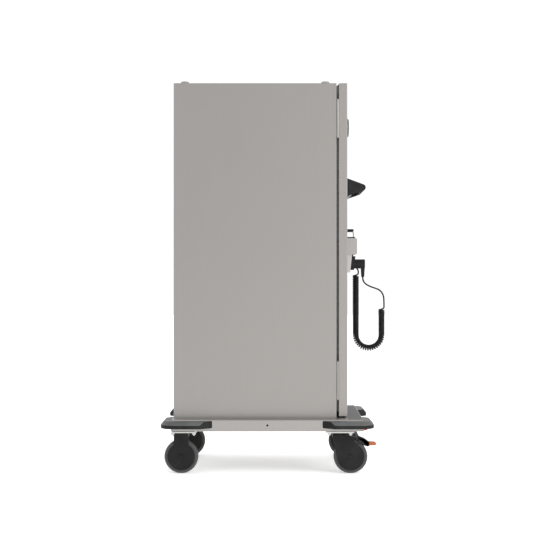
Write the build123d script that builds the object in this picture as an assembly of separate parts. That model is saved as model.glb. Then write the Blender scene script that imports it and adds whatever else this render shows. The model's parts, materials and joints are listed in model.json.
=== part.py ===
from build123d import *
import math
import os

# A heated cabinet on wheels for gastronorm trays, with one full-height door.
# Frame: +Z up, the floor is z = 0, the door faces -Y, the hinges are on the -X side.
# The origin is on the floor, in the middle of the footprint. Lengths are in millimetres.

# Chassis: a folded sheet tray, open beneath
CHASSIS_LENGTH = 710.0
CHASSIS_WIDTH = 552.0
CHASSIS_HEIGHT = 44.0
CHASSIS_SHEET = 2.5
CHASSIS_FLANGE = 105.0
CHASSIS_EDGE_RADIUS = 6.0
SIDE_HOLE_DIAMETER = 5.0
SIDE_HOLE_DROP = 21.0

# Corner bumpers
BUMPER_REACH = 39.0
BUMPER_RISE = 11.7
BUMPER_UPRIGHT = 13.3
BUMPER_SLOPE_HEIGHT = 14.0
BUMPER_SLOPE_WIDTH = 13.0
BUMPER_CORNER_RADIUS = 53.0
BUMPER_LEG = 153.0
BUMPER_END_TAPER = 45.0

# Wheels and casters
WHEEL_DIAMETER = 125.0
TYRE_WIDTH = 32.0
TYRE_DEPTH = 12.5
TYRE_SHOULDER = 4.0
HUB_DIAMETER = 34.0
HUB_SIDE_CLEARANCE = 0.5
AXLE_DIAMETER = 12.0
RUNNING_CLEARANCE = 0.05
CASTER_HEIGHT = 157.5
CASTER_INSET_X = 38.0
REAR_CASTER_INSET = 36.0
FRONT_CASTER_INSET = 87.0
CASTER_TRAIL = 40.0
CASTER_PLATE_LENGTH = 104.0
CASTER_PLATE_WIDTH = 84.0
CASTER_PLATE_THICKNESS = 6.0
CASTER_BOLT_PITCH_Y = 78.0
CASTER_BOLT_PITCH_X = 60.0
CASTER_BOLT_LENGTH = 10.0
NUT_FLATS = 13.0
BEARING_HEAD_DIAMETER = 50.0
BEARING_HEAD_HEIGHT = 7.0
KINGPIN_DIAMETER = 14.0
CHEEK_DIAMETER = 101.0
CHEEK_GAP = 38.0
CHEEK_THICKNESS = 4.0
FORK_NECK = 54.0
CROWN_THICKNESS = 16.0
FORK_CLEARANCE = 0.5

# Brake pedals
PEDAL_REACH = 135.0
PEDAL_WIDTH = 30.0
PEDAL_TOP_DROP = 16.0
PEDAL_PIVOT_RISE = 8.0
PEDAL_PIN_DIAMETER = 8.0
PEDAL_WHEEL_CLEARANCE = 8.0
TREAD_LENGTH = 27.0
TREAD_HEIGHT = 13.0
TREAD_DROP = 48.5

# Cabinet body
BODY_WIDTH = 430.0
BODY_LENGTH = 607.5
BODY_HEIGHT = 1248.0
BODY_REAR_INSET = 5.0
WALL = 45.0
SKIN = 1.0
SHEET_BEND = 2.0
FRAME_DEPTH = 12.0
ROOF_PAD_DIAMETER = 36.0
ROOF_PAD_TOP_DIAMETER = 28.0
ROOF_PAD_HEIGHT = 10.0
ROOF_PAD_INSET_X = 35.0
ROOF_PAD_INSET_REAR = 40.0
ROOF_PAD_INSET_FRONT = 40.5
PAD_SIDES = 16

# Tray racks
LEDGE_COUNT = 15
LEDGE_PITCH = 75.0
LEDGE_FIRST = 50.0
LEDGE_WIDTH = 16.5
LEDGE_LIP = 2.5
LEDGE_ROOT = 9.0
RACK_SHEET = 1.5
RACK_FRONT_SETBACK = 34.0
RACK_REAR_SETBACK = 6.0
RACK_FOOT = 20.0

# Door
DOOR_GAP = 9.3
DOOR_THICKNESS = 31.3
DOOR_LIFT = 5.0
SEAL_INSET = 21.0
SEAL_TOP_INSET = 2.0
SEAL_BASE_WIDTH = 18.0
SEAL_BASE_DEPTH = 4.0
SEAL_LIP_WIDTH = 10.0
SEAL_CLEARANCE = 0.3

# Door hinges
HINGE_LENGTH = 142.0
HINGE_LOW_Z = 340.0
HINGE_HIGH_Z = 1317.5
HINGE_BARREL_DIAMETER = 9.0
HINGE_PIN_DIAMETER = 5.0
HINGE_OUTBOARD = 0.8
HINGE_LEAF_WIDTH = 16.0
HINGE_LEAF_THICKNESS = 1.5
HINGE_END_KNUCKLE = 43.0
KNUCKLE_GAP = 0.4
PIN_HEAD_HEIGHT = 2.0

# Push handle with its release paddle
HANDLE_WIDTH = 286.0
HANDLE_REACH = 73.5
HANDLE_MIDDLE_Z = 1066.5
HANDLE_HEIGHT = 70.0
HANDLE_NOSE_RADIUS = 12.5
HANDLE_NOSE_DROP = 1.0
HANDLE_WALL = 5.0
HANDLE_BACK = 7.0
HANDLE_GRIP_THICKNESS = 22.0
PADDLE_THICKNESS = 5.0
PADDLE_STANDOFF = 4.0
PADDLE_SIDE_CLEARANCE = 2.0
PADDLE_PIVOT_DROP = 12.0
PADDLE_PIN_DIAMETER = 5.0
PADDLE_LIFT = 5.0
PADDLE_LIP = 5.0

# Latch
LATCH_CASE_LENGTH = 46.0
LATCH_CASE_HEIGHT = 44.0
LATCH_CASE_DEPTH = 22.0
LATCH_CASE_WALL = 1.5
BOLT_HEIGHT = 14.0
BOLT_DEPTH = 10.0
BOLT_LENGTH = 26.0
BOLT_CLEARANCE = 0.3
BOLT_TRAVEL = 12.0
STRIKE_THICKNESS = 3.0
STRIKE_EDGE_INSET = 9.0
STRIKE_HEIGHT = 34.0
STRIKE_REACH = 28.0
STRIKE_SLOT_CLEARANCE = 3.0

# Dial thermometer
GAUGE_Z = 1305.5
GAUGE_DIAMETER = 76.0
GAUGE_HEIGHT = 16.0
GAUGE_BEZEL = 9.0
GAUGE_BEVEL = 7.0
GAUGE_RECESS = 5.0
GAUGE_STEM_DIAMETER = 8.0
GLASS_THICKNESS = 1.5
NEEDLE_LENGTH = 22.0
NEEDLE_TAIL = 7.0
NEEDLE_WIDTH = 3.0
NEEDLE_THICKNESS = 0.8
NEEDLE_LIFT = 1.2
NEEDLE_HUB_DIAMETER = 6.0

# Heating module
MODULE_WIDTH = 190.0
MODULE_REACH = 43.5
MODULE_BOTTOM = 812.5
MODULE_HEIGHT = 62.5
MODULE_WALL = 1.5
MODULE_EDGE_RADIUS = 6.0
FLANGE_WIDTH = 206.0
FLANGE_THICKNESS = 2.0
FLANGE_DROP = 73.0
FLANGE_RISE = 45.0
DUCT_WIDTH = 172.0
DUCT_DROP = 55.0
DUCT_RISE = 7.0
DUCT_DEPTH = 62.0
DUCT_SLOTS = 9
DUCT_SLOT_WIDTH = 7.0
DUCT_SLOT_MARGIN = 12.0
CUTOUT_CLEARANCE = 2.0
GRIP_WIDTH = 67.0
GRIP_RISE = 36.5
GRIP_LEG_THICKNESS = 10.0
GRIP_WEB_THICKNESS = 4.5
GRIP_REACH = 38.5
GRIP_CORNER_RADIUS = 6.0
DIAL_X = 48.0
DIAL_DIAMETER = 40.0
DIAL_THICKNESS = 8.0
DIAL_CLEARANCE = 1.5
DIAL_SHAFT_DIAMETER = 6.0
DIAL_CUP_WALL = 2.0
SWITCH_X = -48.0
SWITCH_WIDTH = 21.0
SWITCH_HEIGHT = 30.0
SWITCH_CLEARANCE = 0.6
SWITCH_TILT = 6.0
SWITCH_DEPTH = 12.0
FAN_DROP = 2.0
FAN_DIAMETER = 76.0
FAN_BLADES = 9
FAN_BLADE_HEIGHT = 16.0
FAN_BLADE_THICKNESS = 1.6
FAN_DISC = 2.0
FAN_SHAFT_DIAMETER = 6.0
MOTOR_DIAMETER = 46.0
MOTOR_LENGTH = 36.0
HEATER_WIRE = 7.0
HEATER_WIDTH = 150.0
HEATER_HEIGHT = 112.0
HEATER_BEND = 22.0

# Parking socket, its bracket and the plug
PLUG_X = -30.0
PLUG_DROP = 3.0
PLUG_DIAMETER = 36.0
PLUG_REACH = 77.0
PLUG_NECK_WIDTH = 16.0
PLUG_NECK_LENGTH = 50.5
PLUG_SEAT = 21.0
PLUG_PIN_DIAMETER = 4.8
PLUG_PIN_PITCH = 19.0
PLUG_PIN_LENGTH = 14.0
SOCKET_WIDTH = 54.0
SOCKET_DROP = 6.0
SOCKET_HEIGHT = 53.0
SOCKET_TOP_REACH = 39.5
SOCKET_SLANT = 5.5
SOCKET_FLANGE = 14.0
SOCKET_CUP_WALL = 3.0
SOCKET_FLOOR = 3.0
BRACKET_MARGIN = 4.0
BRACKET_SKIRT = 10.0
BRACKET_SHEET = 1.5

# Mains cord: lead from the gland, curls, lead to the plug
WIRE_DIAMETER = 5.2
CURL_DIAMETER = 21.8
WIRE_SIDES = 4
GLAND_X = 10.0
GLAND_REACH = 28.0
GLAND_FLATS = 13.0
GLAND_NUT_HEIGHT = 9.0
GLAND_TAPER_HEIGHT = 12.0
GLAND_TIP_DIAMETER = 8.0
GLAND_SIDES = 12
CURL_NEAR_REACH = 45.0
CURL_FAR_REACH = 146.5
CURL_NEAR_DROP = 79.0
CURL_NEAR_LENGTH = 232.2
CURL_FAR_LENGTH = 100.2
NEAR_TURNS = 41
BEND_TURNS = 22
FAR_TURNS = 17.5

# Levels and faces that follow from the sizes above
CHASSIS_BOTTOM = CASTER_HEIGHT
CHASSIS_TOP = CHASSIS_BOTTOM + CHASSIS_HEIGHT
FRONT_EXTENT = CHASSIS_LENGTH / 2 + max(BUMPER_REACH, PEDAL_REACH - FRONT_CASTER_INSET)
REAR_EXTENT = CHASSIS_LENGTH / 2 + BUMPER_REACH
CHASSIS_MIDDLE_Y = (FRONT_EXTENT - REAR_EXTENT) / 2
CHASSIS_REAR_Y = CHASSIS_MIDDLE_Y + CHASSIS_LENGTH / 2
CHASSIS_FRONT_Y = CHASSIS_MIDDLE_Y - CHASSIS_LENGTH / 2
CHASSIS_SIDE_X = CHASSIS_WIDTH / 2
CASTER_X = CHASSIS_SIDE_X - CASTER_INSET_X
FRONT_SWIVEL_Y = CHASSIS_FRONT_Y + FRONT_CASTER_INSET
FRONT_WHEEL_Y = FRONT_SWIVEL_Y - CASTER_TRAIL
REAR_WHEEL_Y = CHASSIS_REAR_Y - REAR_CASTER_INSET
WHEEL_Z = WHEEL_DIAMETER / 2
HUB_WIDTH = CHEEK_GAP - 2 * HUB_SIDE_CLEARANCE
PLATE_BOTTOM = CASTER_HEIGHT - CASTER_PLATE_THICKNESS
CROWN_TOP = PLATE_BOTTOM - BEARING_HEAD_HEIGHT - FORK_CLEARANCE
BODY_SIDE_X = BODY_WIDTH / 2
BODY_REAR_Y = CHASSIS_REAR_Y - BODY_REAR_INSET
BODY_FRONT_Y = BODY_REAR_Y - BODY_LENGTH
BODY_TOP = CHASSIS_TOP + BODY_HEIGHT
FRAME_BACK_Y = BODY_FRONT_Y + FRAME_DEPTH
CAVITY_X = BODY_SIDE_X - WALL
CAVITY_FLOOR = CHASSIS_TOP + WALL
CAVITY_TOP = BODY_TOP - WALL
CAVITY_REAR_Y = BODY_REAR_Y - WALL
DOOR_INNER_Y = BODY_FRONT_Y - DOOR_GAP
DOOR_FACE_Y = DOOR_INNER_Y - DOOR_THICKNESS
DOOR_BOTTOM = CHASSIS_TOP + DOOR_LIFT
HINGE_X = -BODY_SIDE_X - HINGE_OUTBOARD
HINGE_Y = BODY_FRONT_Y - DOOR_GAP / 2
LATCH_STRIKE_X = BODY_SIDE_X - STRIKE_EDGE_INSET
HANDLE_TOP = HANDLE_MIDDLE_Z + HANDLE_HEIGHT / 2
HANDLE_BOTTOM = HANDLE_MIDDLE_Z - HANDLE_HEIGHT / 2
HANDLE_NOSE_Z = HANDLE_MIDDLE_Z - HANDLE_NOSE_DROP
PADDLE_BOTTOM = HANDLE_BOTTOM + PADDLE_LIFT
LATCH_Z = HANDLE_MIDDLE_Z
MODULE_TOP = MODULE_BOTTOM + MODULE_HEIGHT
MODULE_MIDDLE_Z = (MODULE_BOTTOM + MODULE_TOP) / 2
FLANGE_BOTTOM = MODULE_BOTTOM - FLANGE_DROP
FLANGE_TOP = MODULE_TOP + FLANGE_RISE
DUCT_BOTTOM = MODULE_BOTTOM - DUCT_DROP
DUCT_TOP = MODULE_TOP + DUCT_RISE
GRIP_TOP = MODULE_TOP + GRIP_RISE
FAN_Z = MODULE_MIDDLE_Z - FAN_DROP
SOCKET_TOP = MODULE_BOTTOM - SOCKET_DROP
SOCKET_BOTTOM = SOCKET_TOP - SOCKET_HEIGHT
BRACKET_BOTTOM = SOCKET_BOTTOM - BRACKET_SKIRT
PLUG_Z = (SOCKET_TOP + SOCKET_BOTTOM) / 2 - PLUG_DROP
PLUG_NECK_BOTTOM = PLUG_Z - PLUG_NECK_LENGTH
CURL_NEAR_TOP = MODULE_BOTTOM - CURL_NEAR_DROP
CURL_BEND_Z = CURL_NEAR_TOP - CURL_NEAR_LENGTH
CURL_FAR_TOP = CURL_BEND_Z + CURL_FAR_LENGTH
DUCT_INNER_Y = DOOR_FACE_Y + DUCT_DEPTH
MODULE_FACE_Y = DOOR_FACE_Y - MODULE_REACH
PADDLE_PIVOT_Y = DOOR_FACE_Y - HANDLE_BACK - PADDLE_STANDOFF - PADDLE_THICKNESS / 2
PADDLE_PIVOT_Z = HANDLE_TOP - HANDLE_WALL - PADDLE_PIVOT_DROP
PEDAL_PIVOT_Y = FRONT_SWIVEL_Y - FORK_NECK / 2 - 14.0
PEDAL_PIVOT_Z = WHEEL_DIAMETER + PEDAL_PIVOT_RISE
PEDAL_TOP = CASTER_HEIGHT - PEDAL_TOP_DROP
TREAD_MIDDLE_Z = CASTER_HEIGHT - TREAD_DROP
NEEDLE_Y = DOOR_FACE_Y - GAUGE_HEIGHT + GAUGE_RECESS
SWITCH_PIVOT_Y = MODULE_FACE_Y + SWITCH_DEPTH / 2
SIDES = {"left": -1, "right": 1}

os.makedirs("parts", exist_ok=True)


def block(x0, x1, y0, y1, z0, z1):
    """A box between two corners."""
    return Pos((x0 + x1) / 2, (y0 + y1) / 2, (z0 + z1) / 2) * Box(x1 - x0, y1 - y0, z1 - z0)


def rod_x(diameter, x0, x1, y, z):
    """A round bar along X."""
    return Pos((x0 + x1) / 2, y, z) * Rot(0, 90, 0) * Cylinder(diameter / 2, x1 - x0)


def rod_y(diameter, x, y0, y1, z):
    """A round bar along Y."""
    return Pos(x, (y0 + y1) / 2, z) * Rot(90, 0, 0) * Cylinder(diameter / 2, y1 - y0)


def rod_z(diameter, x, y, z0, z1):
    """A round bar along Z."""
    return Pos(x, y, (z0 + z1) / 2) * Cylinder(diameter / 2, z1 - z0)


def side_profile(points, x0, x1):
    """A prism along X from (y, z) corners."""
    face = make_face(Polyline(*[(0, y, z) for y, z in points], close=True))
    return Pos(x0, 0, 0) * extrude(face, amount=x1 - x0, dir=(1, 0, 0))


def front_profile(points, y0, y1):
    """A prism along Y from (x, z) corners."""
    face = make_face(Polyline(*[(x, 0, z) for x, z in points], close=True))
    return Pos(0, y0, 0) * extrude(face, amount=y1 - y0, dir=(0, 1, 0))


def turned_about_y(points, x, y, z):
    """A turned piece from (radius, reach) corners, reach counted towards -Y from y."""
    face = make_face(Polyline(*[(r, -d, 0) for r, d in points], close=True))
    return Pos(x, y, z) * revolve(face, Axis.Y)


def ring(half_x, z0, z1, y0, y1, width):
    """A rectangular frame seen from the front, of one width all round."""
    inner = block(-half_x + width, half_x - width, y0, y1, z0 + width, z1 - width)
    return block(-half_x, half_x, y0, y1, z0, z1) - inner


def save(node, shape):
    """Writes one sub-part."""
    shape.label = node
    export_step(shape, f"parts/{node}.step")


# Chassis and bumpers


def chassis_tray():
    """Folded tray: rounded top edges, side walls and a flange beneath that the casters bolt to."""
    outer = block(-CHASSIS_SIDE_X, CHASSIS_SIDE_X, CHASSIS_FRONT_Y, CHASSIS_REAR_Y, CHASSIS_BOTTOM, CHASSIS_TOP)
    top_edges = outer.edges().filter_by_position(Axis.Z, CHASSIS_TOP - 0.01, CHASSIS_TOP + 0.01)
    outer = fillet(top_edges, CHASSIS_EDGE_RADIUS)
    s = CHASSIS_SHEET
    inner_x, front, rear = CHASSIS_SIDE_X - s, CHASSIS_FRONT_Y + s, CHASSIS_REAR_Y - s
    void = block(-inner_x, inner_x, front, rear, CHASSIS_BOTTOM + s, CHASSIS_TOP - s)
    f = CHASSIS_FLANGE
    mouth = block(f - CHASSIS_SIDE_X, CHASSIS_SIDE_X - f, CHASSIS_FRONT_Y + f, CHASSIS_REAR_Y - f,
                  CHASSIS_BOTTOM, CHASSIS_BOTTOM + s)
    hole = rod_x(SIDE_HOLE_DIAMETER, -CHASSIS_SIDE_X, CHASSIS_SIDE_X, CHASSIS_MIDDLE_Y,
                 CHASSIS_TOP - SIDE_HOLE_DROP)
    return outer - void - mouth - hole


def bumper_block():
    """The rounded block that all four bumpers are cut from: upright below, sloped above."""
    width = CHASSIS_WIDTH + 2 * BUMPER_REACH
    length = CHASSIS_LENGTH + 2 * BUMPER_REACH
    base = Pos(0, CHASSIS_MIDDLE_Y, CHASSIS_BOTTOM + BUMPER_RISE)
    outline = RectangleRounded(width, length, BUMPER_CORNER_RADIUS)
    upright = extrude(outline, BUMPER_UPRIGHT)
    top = RectangleRounded(width - 2 * BUMPER_SLOPE_WIDTH, length - 2 * BUMPER_SLOPE_WIDTH,
                           BUMPER_CORNER_RADIUS - BUMPER_SLOPE_WIDTH)
    slope = loft([Pos(0, 0, BUMPER_UPRIGHT) * outline,
                  Pos(0, 0, BUMPER_UPRIGHT + BUMPER_SLOPE_HEIGHT) * top], ruled=True)
    tray = Pos(0, 0, (BUMPER_UPRIGHT + BUMPER_SLOPE_HEIGHT) / 2) * Box(
        CHASSIS_WIDTH, CHASSIS_LENGTH, 2 * (BUMPER_UPRIGHT + BUMPER_SLOPE_HEIGHT))
    return base * (upright + slope - tray)


def bumper(blank, side, front):
    """One corner, with both ends tapered back to the chassis."""
    corner_x = CHASSIS_SIDE_X + BUMPER_REACH
    corner_y = CHASSIS_LENGTH / 2 + BUMPER_REACH
    end_x = CHASSIS_SIDE_X - BUMPER_LEG
    end_y = CHASSIS_LENGTH / 2 - BUMPER_LEG
    outline = Polyline((end_x, CHASSIS_LENGTH / 2), (end_x + BUMPER_END_TAPER, corner_y), (corner_x, corner_y),
                       (corner_x, end_y + BUMPER_END_TAPER), (CHASSIS_SIDE_X, end_y),
                       (CHASSIS_SIDE_X, CHASSIS_LENGTH / 2), close=True)
    keep = extrude(make_face(outline), CHASSIS_TOP)
    if side < 0:
        keep = mirror(keep, Plane.YZ)
    if front:
        keep = mirror(keep, Plane.XZ)
    return blank & (Pos(0, CHASSIS_MIDDLE_Y, 0) * keep)


# Wheels and casters


def tyre(x, y):
    """Tread ring with bevelled shoulders."""
    rim = WHEEL_DIAMETER / 2 - TYRE_DEPTH
    half = TYRE_WIDTH / 2
    outer = WHEEL_DIAMETER / 2
    points = [(rim, -half), (outer - TYRE_SHOULDER, -half), (outer, TYRE_SHOULDER - half),
              (outer, half - TYRE_SHOULDER), (outer - TYRE_SHOULDER, half), (rim, half)]
    face = make_face(Polyline(*[(w, r, 0) for r, w in points], close=True))
    return Pos(x, y, WHEEL_Z) * revolve(face, Axis.X)


def wheel_core(x, y):
    """Disc and hub in one moulding, bored for the axle. The cheeks hide its sides, so they are flat."""
    rim = WHEEL_DIAMETER / 2 - TYRE_DEPTH
    half = TYRE_WIDTH / 2
    hub = HUB_DIAMETER / 2
    bore = AXLE_DIAMETER / 2 + RUNNING_CLEARANCE
    points = [(bore, -HUB_WIDTH / 2), (hub, -HUB_WIDTH / 2), (hub, -half), (rim, -half), (rim, half),
              (hub, half), (hub, HUB_WIDTH / 2), (bore, HUB_WIDTH / 2)]
    face = make_face(Polyline(*[(w, r, 0) for r, w in points], close=True))
    return Pos(x, y, WHEEL_Z) * revolve(face, Axis.X)


def fork_outline(neck_y, wheel_y, top):
    """A cheek seen from the side: a straight neck on a disc, or one that leans forward to its wheel."""
    r = CHEEK_DIAMETER / 2
    if neck_y == wheel_y:
        neck = Pos(neck_y, (WHEEL_Z + top) / 2) * Rectangle(FORK_NECK, top - WHEEL_Z)
        return Pos(wheel_y, WHEEL_Z) * Circle(r) + neck
    shoulder = Polyline((neck_y - FORK_NECK / 2, top - CROWN_THICKNESS / 2), (neck_y - FORK_NECK / 2, top),
                        (neck_y + FORK_NECK / 2, top), (neck_y + FORK_NECK / 2, top - CROWN_THICKNESS / 2))
    disc = Pos(wheel_y, WHEEL_Z) * CenterArc((0, 0), r, 0, 360)
    return make_hull(disc.edges() + shoulder.edges())


def fork(x, neck_y, wheel_y, top):
    """Two round cheeks that run up into a solid crown above the wheel."""
    outline = Plane(origin=(0, 0, 0), x_dir=(0, 1, 0), z_dir=(1, 0, 0)) * fork_outline(neck_y, wheel_y, top)
    outer = CHEEK_GAP / 2 + CHEEK_THICKNESS
    solid = Pos(x - outer, 0, 0) * extrude(outline, 2 * outer)
    slot = block(x - CHEEK_GAP / 2, x + CHEEK_GAP / 2, wheel_y - CHEEK_DIAMETER, wheel_y + CHEEK_DIAMETER, 0,
                 top - CROWN_THICKNESS)
    bore = rod_x(AXLE_DIAMETER, x - outer, x + outer, wheel_y, WHEEL_Z)
    return solid - slot - bore


def swivel_fork(side):
    """A fork that turns on its kingpin, with ears in front for the pedal pin."""
    x = side * CASTER_X
    body = fork(x, FRONT_SWIVEL_Y, FRONT_WHEEL_Y, CROWN_TOP)
    pin = rod_z(KINGPIN_DIAMETER + 2 * RUNNING_CLEARANCE, x, FRONT_SWIVEL_Y, CROWN_TOP - CROWN_THICKNESS, CROWN_TOP)
    pedal_pin = rod_x(PEDAL_PIN_DIAMETER, x - CHEEK_GAP, x + CHEEK_GAP, PEDAL_PIVOT_Y, PEDAL_PIVOT_Z)
    room = block(x - CHEEK_GAP / 2, x + CHEEK_GAP / 2, FRONT_WHEEL_Y - CHEEK_DIAMETER,
                 FRONT_SWIVEL_Y - FORK_NECK / 2 + 2.0, 0, CASTER_HEIGHT)
    return body - pin - room - pedal_pin


def fixed_forks():
    """The rear forks, one piece each with the plate that bolts to the chassis."""
    forks = []
    for side in SIDES.values():
        x = side * CASTER_X
        half_l, half_w = CASTER_PLATE_LENGTH / 2, CASTER_PLATE_WIDTH / 2
        plate = block(x - half_w, x + half_w, REAR_WHEEL_Y - half_l, REAR_WHEEL_Y + half_l - 18.0,
                      PLATE_BOTTOM, CASTER_HEIGHT)
        forks.append(fork(x, REAR_WHEEL_Y, REAR_WHEEL_Y, PLATE_BOTTOM) + plate)
    return Compound(children=[f.solid() for f in forks])


def swivel_plates():
    """The front top plates with their bearing heads and kingpins."""
    plates = []
    for side in SIDES.values():
        x = side * CASTER_X
        half_l, half_w = CASTER_PLATE_LENGTH / 2, CASTER_PLATE_WIDTH / 2
        plate = block(x - half_w, x + half_w, FRONT_SWIVEL_Y - half_l, FRONT_SWIVEL_Y + half_l,
                      PLATE_BOTTOM, CASTER_HEIGHT)
        head = rod_z(BEARING_HEAD_DIAMETER, x, FRONT_SWIVEL_Y, PLATE_BOTTOM - BEARING_HEAD_HEIGHT, PLATE_BOTTOM)
        pin = rod_z(KINGPIN_DIAMETER, x, FRONT_SWIVEL_Y, CROWN_TOP - CROWN_THICKNESS + 2.0, PLATE_BOTTOM)
        plates.append(plate + head + pin)
    return Compound(children=[p.solid() for p in plates])


def caster_bolts():
    """Nuts with the stud ends standing out of them, four under each plate."""
    bolts = []
    nut_height = CASTER_BOLT_LENGTH * 0.6
    nut = Pos(0, 0, -nut_height) * extrude(RegularPolygon(NUT_FLATS / 2, 6, major_radius=False), nut_height)
    tip = Pos(0, 0, -CASTER_BOLT_LENGTH) * extrude(RegularPolygon(NUT_FLATS * 0.3, 8), CASTER_BOLT_LENGTH)
    bolt = nut + tip
    for y in (FRONT_SWIVEL_Y, REAR_WHEEL_Y - 9.0):
        for side in SIDES.values():
            for across in (-0.5, 0.5):
                for along in (-0.5, 0.5):
                    place = Pos(side * CASTER_X + across * CASTER_BOLT_PITCH_X, y + along * CASTER_BOLT_PITCH_Y,
                                PLATE_BOTTOM)
                    bolts.append((place * bolt).solid())
    return Compound(children=bolts)


def axle(x, y):
    """A shouldered bolt through both cheeks."""
    outer = CHEEK_GAP / 2 + CHEEK_THICKNESS
    shank = rod_x(AXLE_DIAMETER, x - outer, x + outer, y, WHEEL_Z)
    head = extrude(Plane(origin=(x + outer, y, WHEEL_Z), z_dir=(1, 0, 0)) * RegularPolygon(9.5, 6), 5.0)
    nut = extrude(Plane(origin=(x - outer, y, WHEEL_Z), z_dir=(-1, 0, 0)) * RegularPolygon(9.5, 6), 5.0)
    return shank + head + nut


def brake_pedal(side):
    """Lever over the wheel, curved beneath to clear the tyre, on a pin between the cheeks."""
    x = side * CASTER_X
    half = PEDAL_WIDTH / 2
    tip_y = FRONT_SWIVEL_Y - PEDAL_REACH
    root_y = tip_y + TREAD_LENGTH
    clear = WHEEL_DIAMETER / 2 + PEDAL_WHEEL_CLEARANCE
    low, high = TREAD_MIDDLE_Z - TREAD_HEIGHT / 2, TREAD_MIDDLE_Z + TREAD_HEIGHT / 2
    top = side_profile([(root_y, low - 2.0), (root_y, high), (root_y + 16.0, high + 12.0),
                        (PEDAL_PIVOT_Y - 14.0, PEDAL_TOP - 8.0), (PEDAL_PIVOT_Y + 2.0, PEDAL_TOP - 3.0),
                        (PEDAL_PIVOT_Y + 7.0, PEDAL_PIVOT_Z), (PEDAL_PIVOT_Y + 2.0, PEDAL_PIVOT_Z - 5.0),
                        (root_y + 12.0, low - 4.0)],
                       x - half, x + half)
    tyre_room = rod_x(2 * clear, x - PEDAL_WIDTH, x + PEDAL_WIDTH, FRONT_WHEEL_Y, WHEEL_Z)
    pin = rod_x(PEDAL_PIN_DIAMETER - 2 * RUNNING_CLEARANCE, x - CHEEK_GAP / 2 - CHEEK_THICKNESS,
                x + CHEEK_GAP / 2 + CHEEK_THICKNESS, PEDAL_PIVOT_Y, PEDAL_PIVOT_Z)
    return (top - tyre_room) + pin


def pedal_tread(side):
    """The coloured tread on the end of the lever."""
    x = side * CASTER_X
    half = PEDAL_WIDTH / 2
    tip_y = FRONT_SWIVEL_Y - PEDAL_REACH
    low, high = TREAD_MIDDLE_Z - TREAD_HEIGHT / 2, TREAD_MIDDLE_Z + TREAD_HEIGHT / 2
    return side_profile([(tip_y + TREAD_LENGTH, low), (tip_y + TREAD_LENGTH, high), (tip_y + 4.0, high - 1.0),
                         (tip_y, high - 4.0), (tip_y, low + 5.0), (tip_y + 3.0, low + 2.0)],
                        x - half, x + half)


# Cabinet body


def outer_shell():
    """Sides, roof, back and bottom in thin sheet, open at the front."""
    whole = block(-BODY_SIDE_X, BODY_SIDE_X, FRAME_BACK_Y, BODY_REAR_Y, CHASSIS_TOP, BODY_TOP)
    upright = whole.edges().filter_by(Axis.Z).group_by(Axis.Y)[-1]
    roof = whole.edges().filter_by(Plane.XY).group_by(Axis.Z)[-1].sort_by(Axis.Y)[1:]
    whole = fillet(upright + roof, SHEET_BEND)
    void = block(-BODY_SIDE_X + SKIN, BODY_SIDE_X - SKIN, FRAME_BACK_Y, BODY_REAR_Y - SKIN,
                 CHASSIS_TOP + SKIN, BODY_TOP - SKIN)
    return whole - void


def insulation_panels():
    """Five slabs between the outer shell and the liner: two sides, roof, floor and back."""
    out_x, in_x = BODY_SIDE_X - SKIN, CAVITY_X + SKIN
    low, high = CHASSIS_TOP + SKIN, BODY_TOP - SKIN
    liner_low, liner_high = CAVITY_FLOOR - SKIN, CAVITY_TOP + SKIN
    back_y = CAVITY_REAR_Y + SKIN
    rear = BODY_REAR_Y - SKIN
    slabs = [
        block(-out_x, -in_x, FRAME_BACK_Y, rear, low, high),
        block(in_x, out_x, FRAME_BACK_Y, rear, low, high),
        block(-in_x, in_x, FRAME_BACK_Y, rear, liner_high, high),
        block(-in_x, in_x, FRAME_BACK_Y, rear, low, liner_low),
        block(-in_x, in_x, back_y, rear, liner_low, liner_high),
    ]
    return Compound(children=[s.solid() for s in slabs])


def inner_liner():
    """The smooth inner tank that the racks stand in."""
    whole = block(-CAVITY_X - SKIN, CAVITY_X + SKIN, FRAME_BACK_Y, CAVITY_REAR_Y + SKIN,
                  CAVITY_FLOOR - SKIN, CAVITY_TOP + SKIN)
    void = block(-CAVITY_X, CAVITY_X, FRAME_BACK_Y, CAVITY_REAR_Y, CAVITY_FLOOR, CAVITY_TOP)
    return whole - void


def front_frame():
    """The frame round the opening that joins both skins and takes the seal."""
    frame = ring(BODY_SIDE_X, CHASSIS_TOP, BODY_TOP, BODY_FRONT_Y, FRAME_BACK_Y, WALL)
    corners = frame.edges().filter_by(Axis.Y).filter_by_position(Axis.Z, BODY_TOP - 0.01, BODY_TOP + 0.01)
    return fillet(corners, SHEET_BEND)


def roof_pads():
    """Four low stacking pads, tapered, with sixteen flats each."""
    pads = []
    foot = RegularPolygon(ROOF_PAD_DIAMETER / 2, PAD_SIDES)
    top = Pos(0, 0, ROOF_PAD_HEIGHT) * RegularPolygon(ROOF_PAD_TOP_DIAMETER / 2, PAD_SIDES)
    pad = loft([foot, top], ruled=True)
    for side in SIDES.values():
        for y in (BODY_REAR_Y - ROOF_PAD_INSET_REAR, BODY_FRONT_Y + ROOF_PAD_INSET_FRONT):
            pads.append((Pos(side * (BODY_SIDE_X - ROOF_PAD_INSET_X), y, BODY_TOP) * pad).solid())
    return Compound(children=pads)


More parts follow.
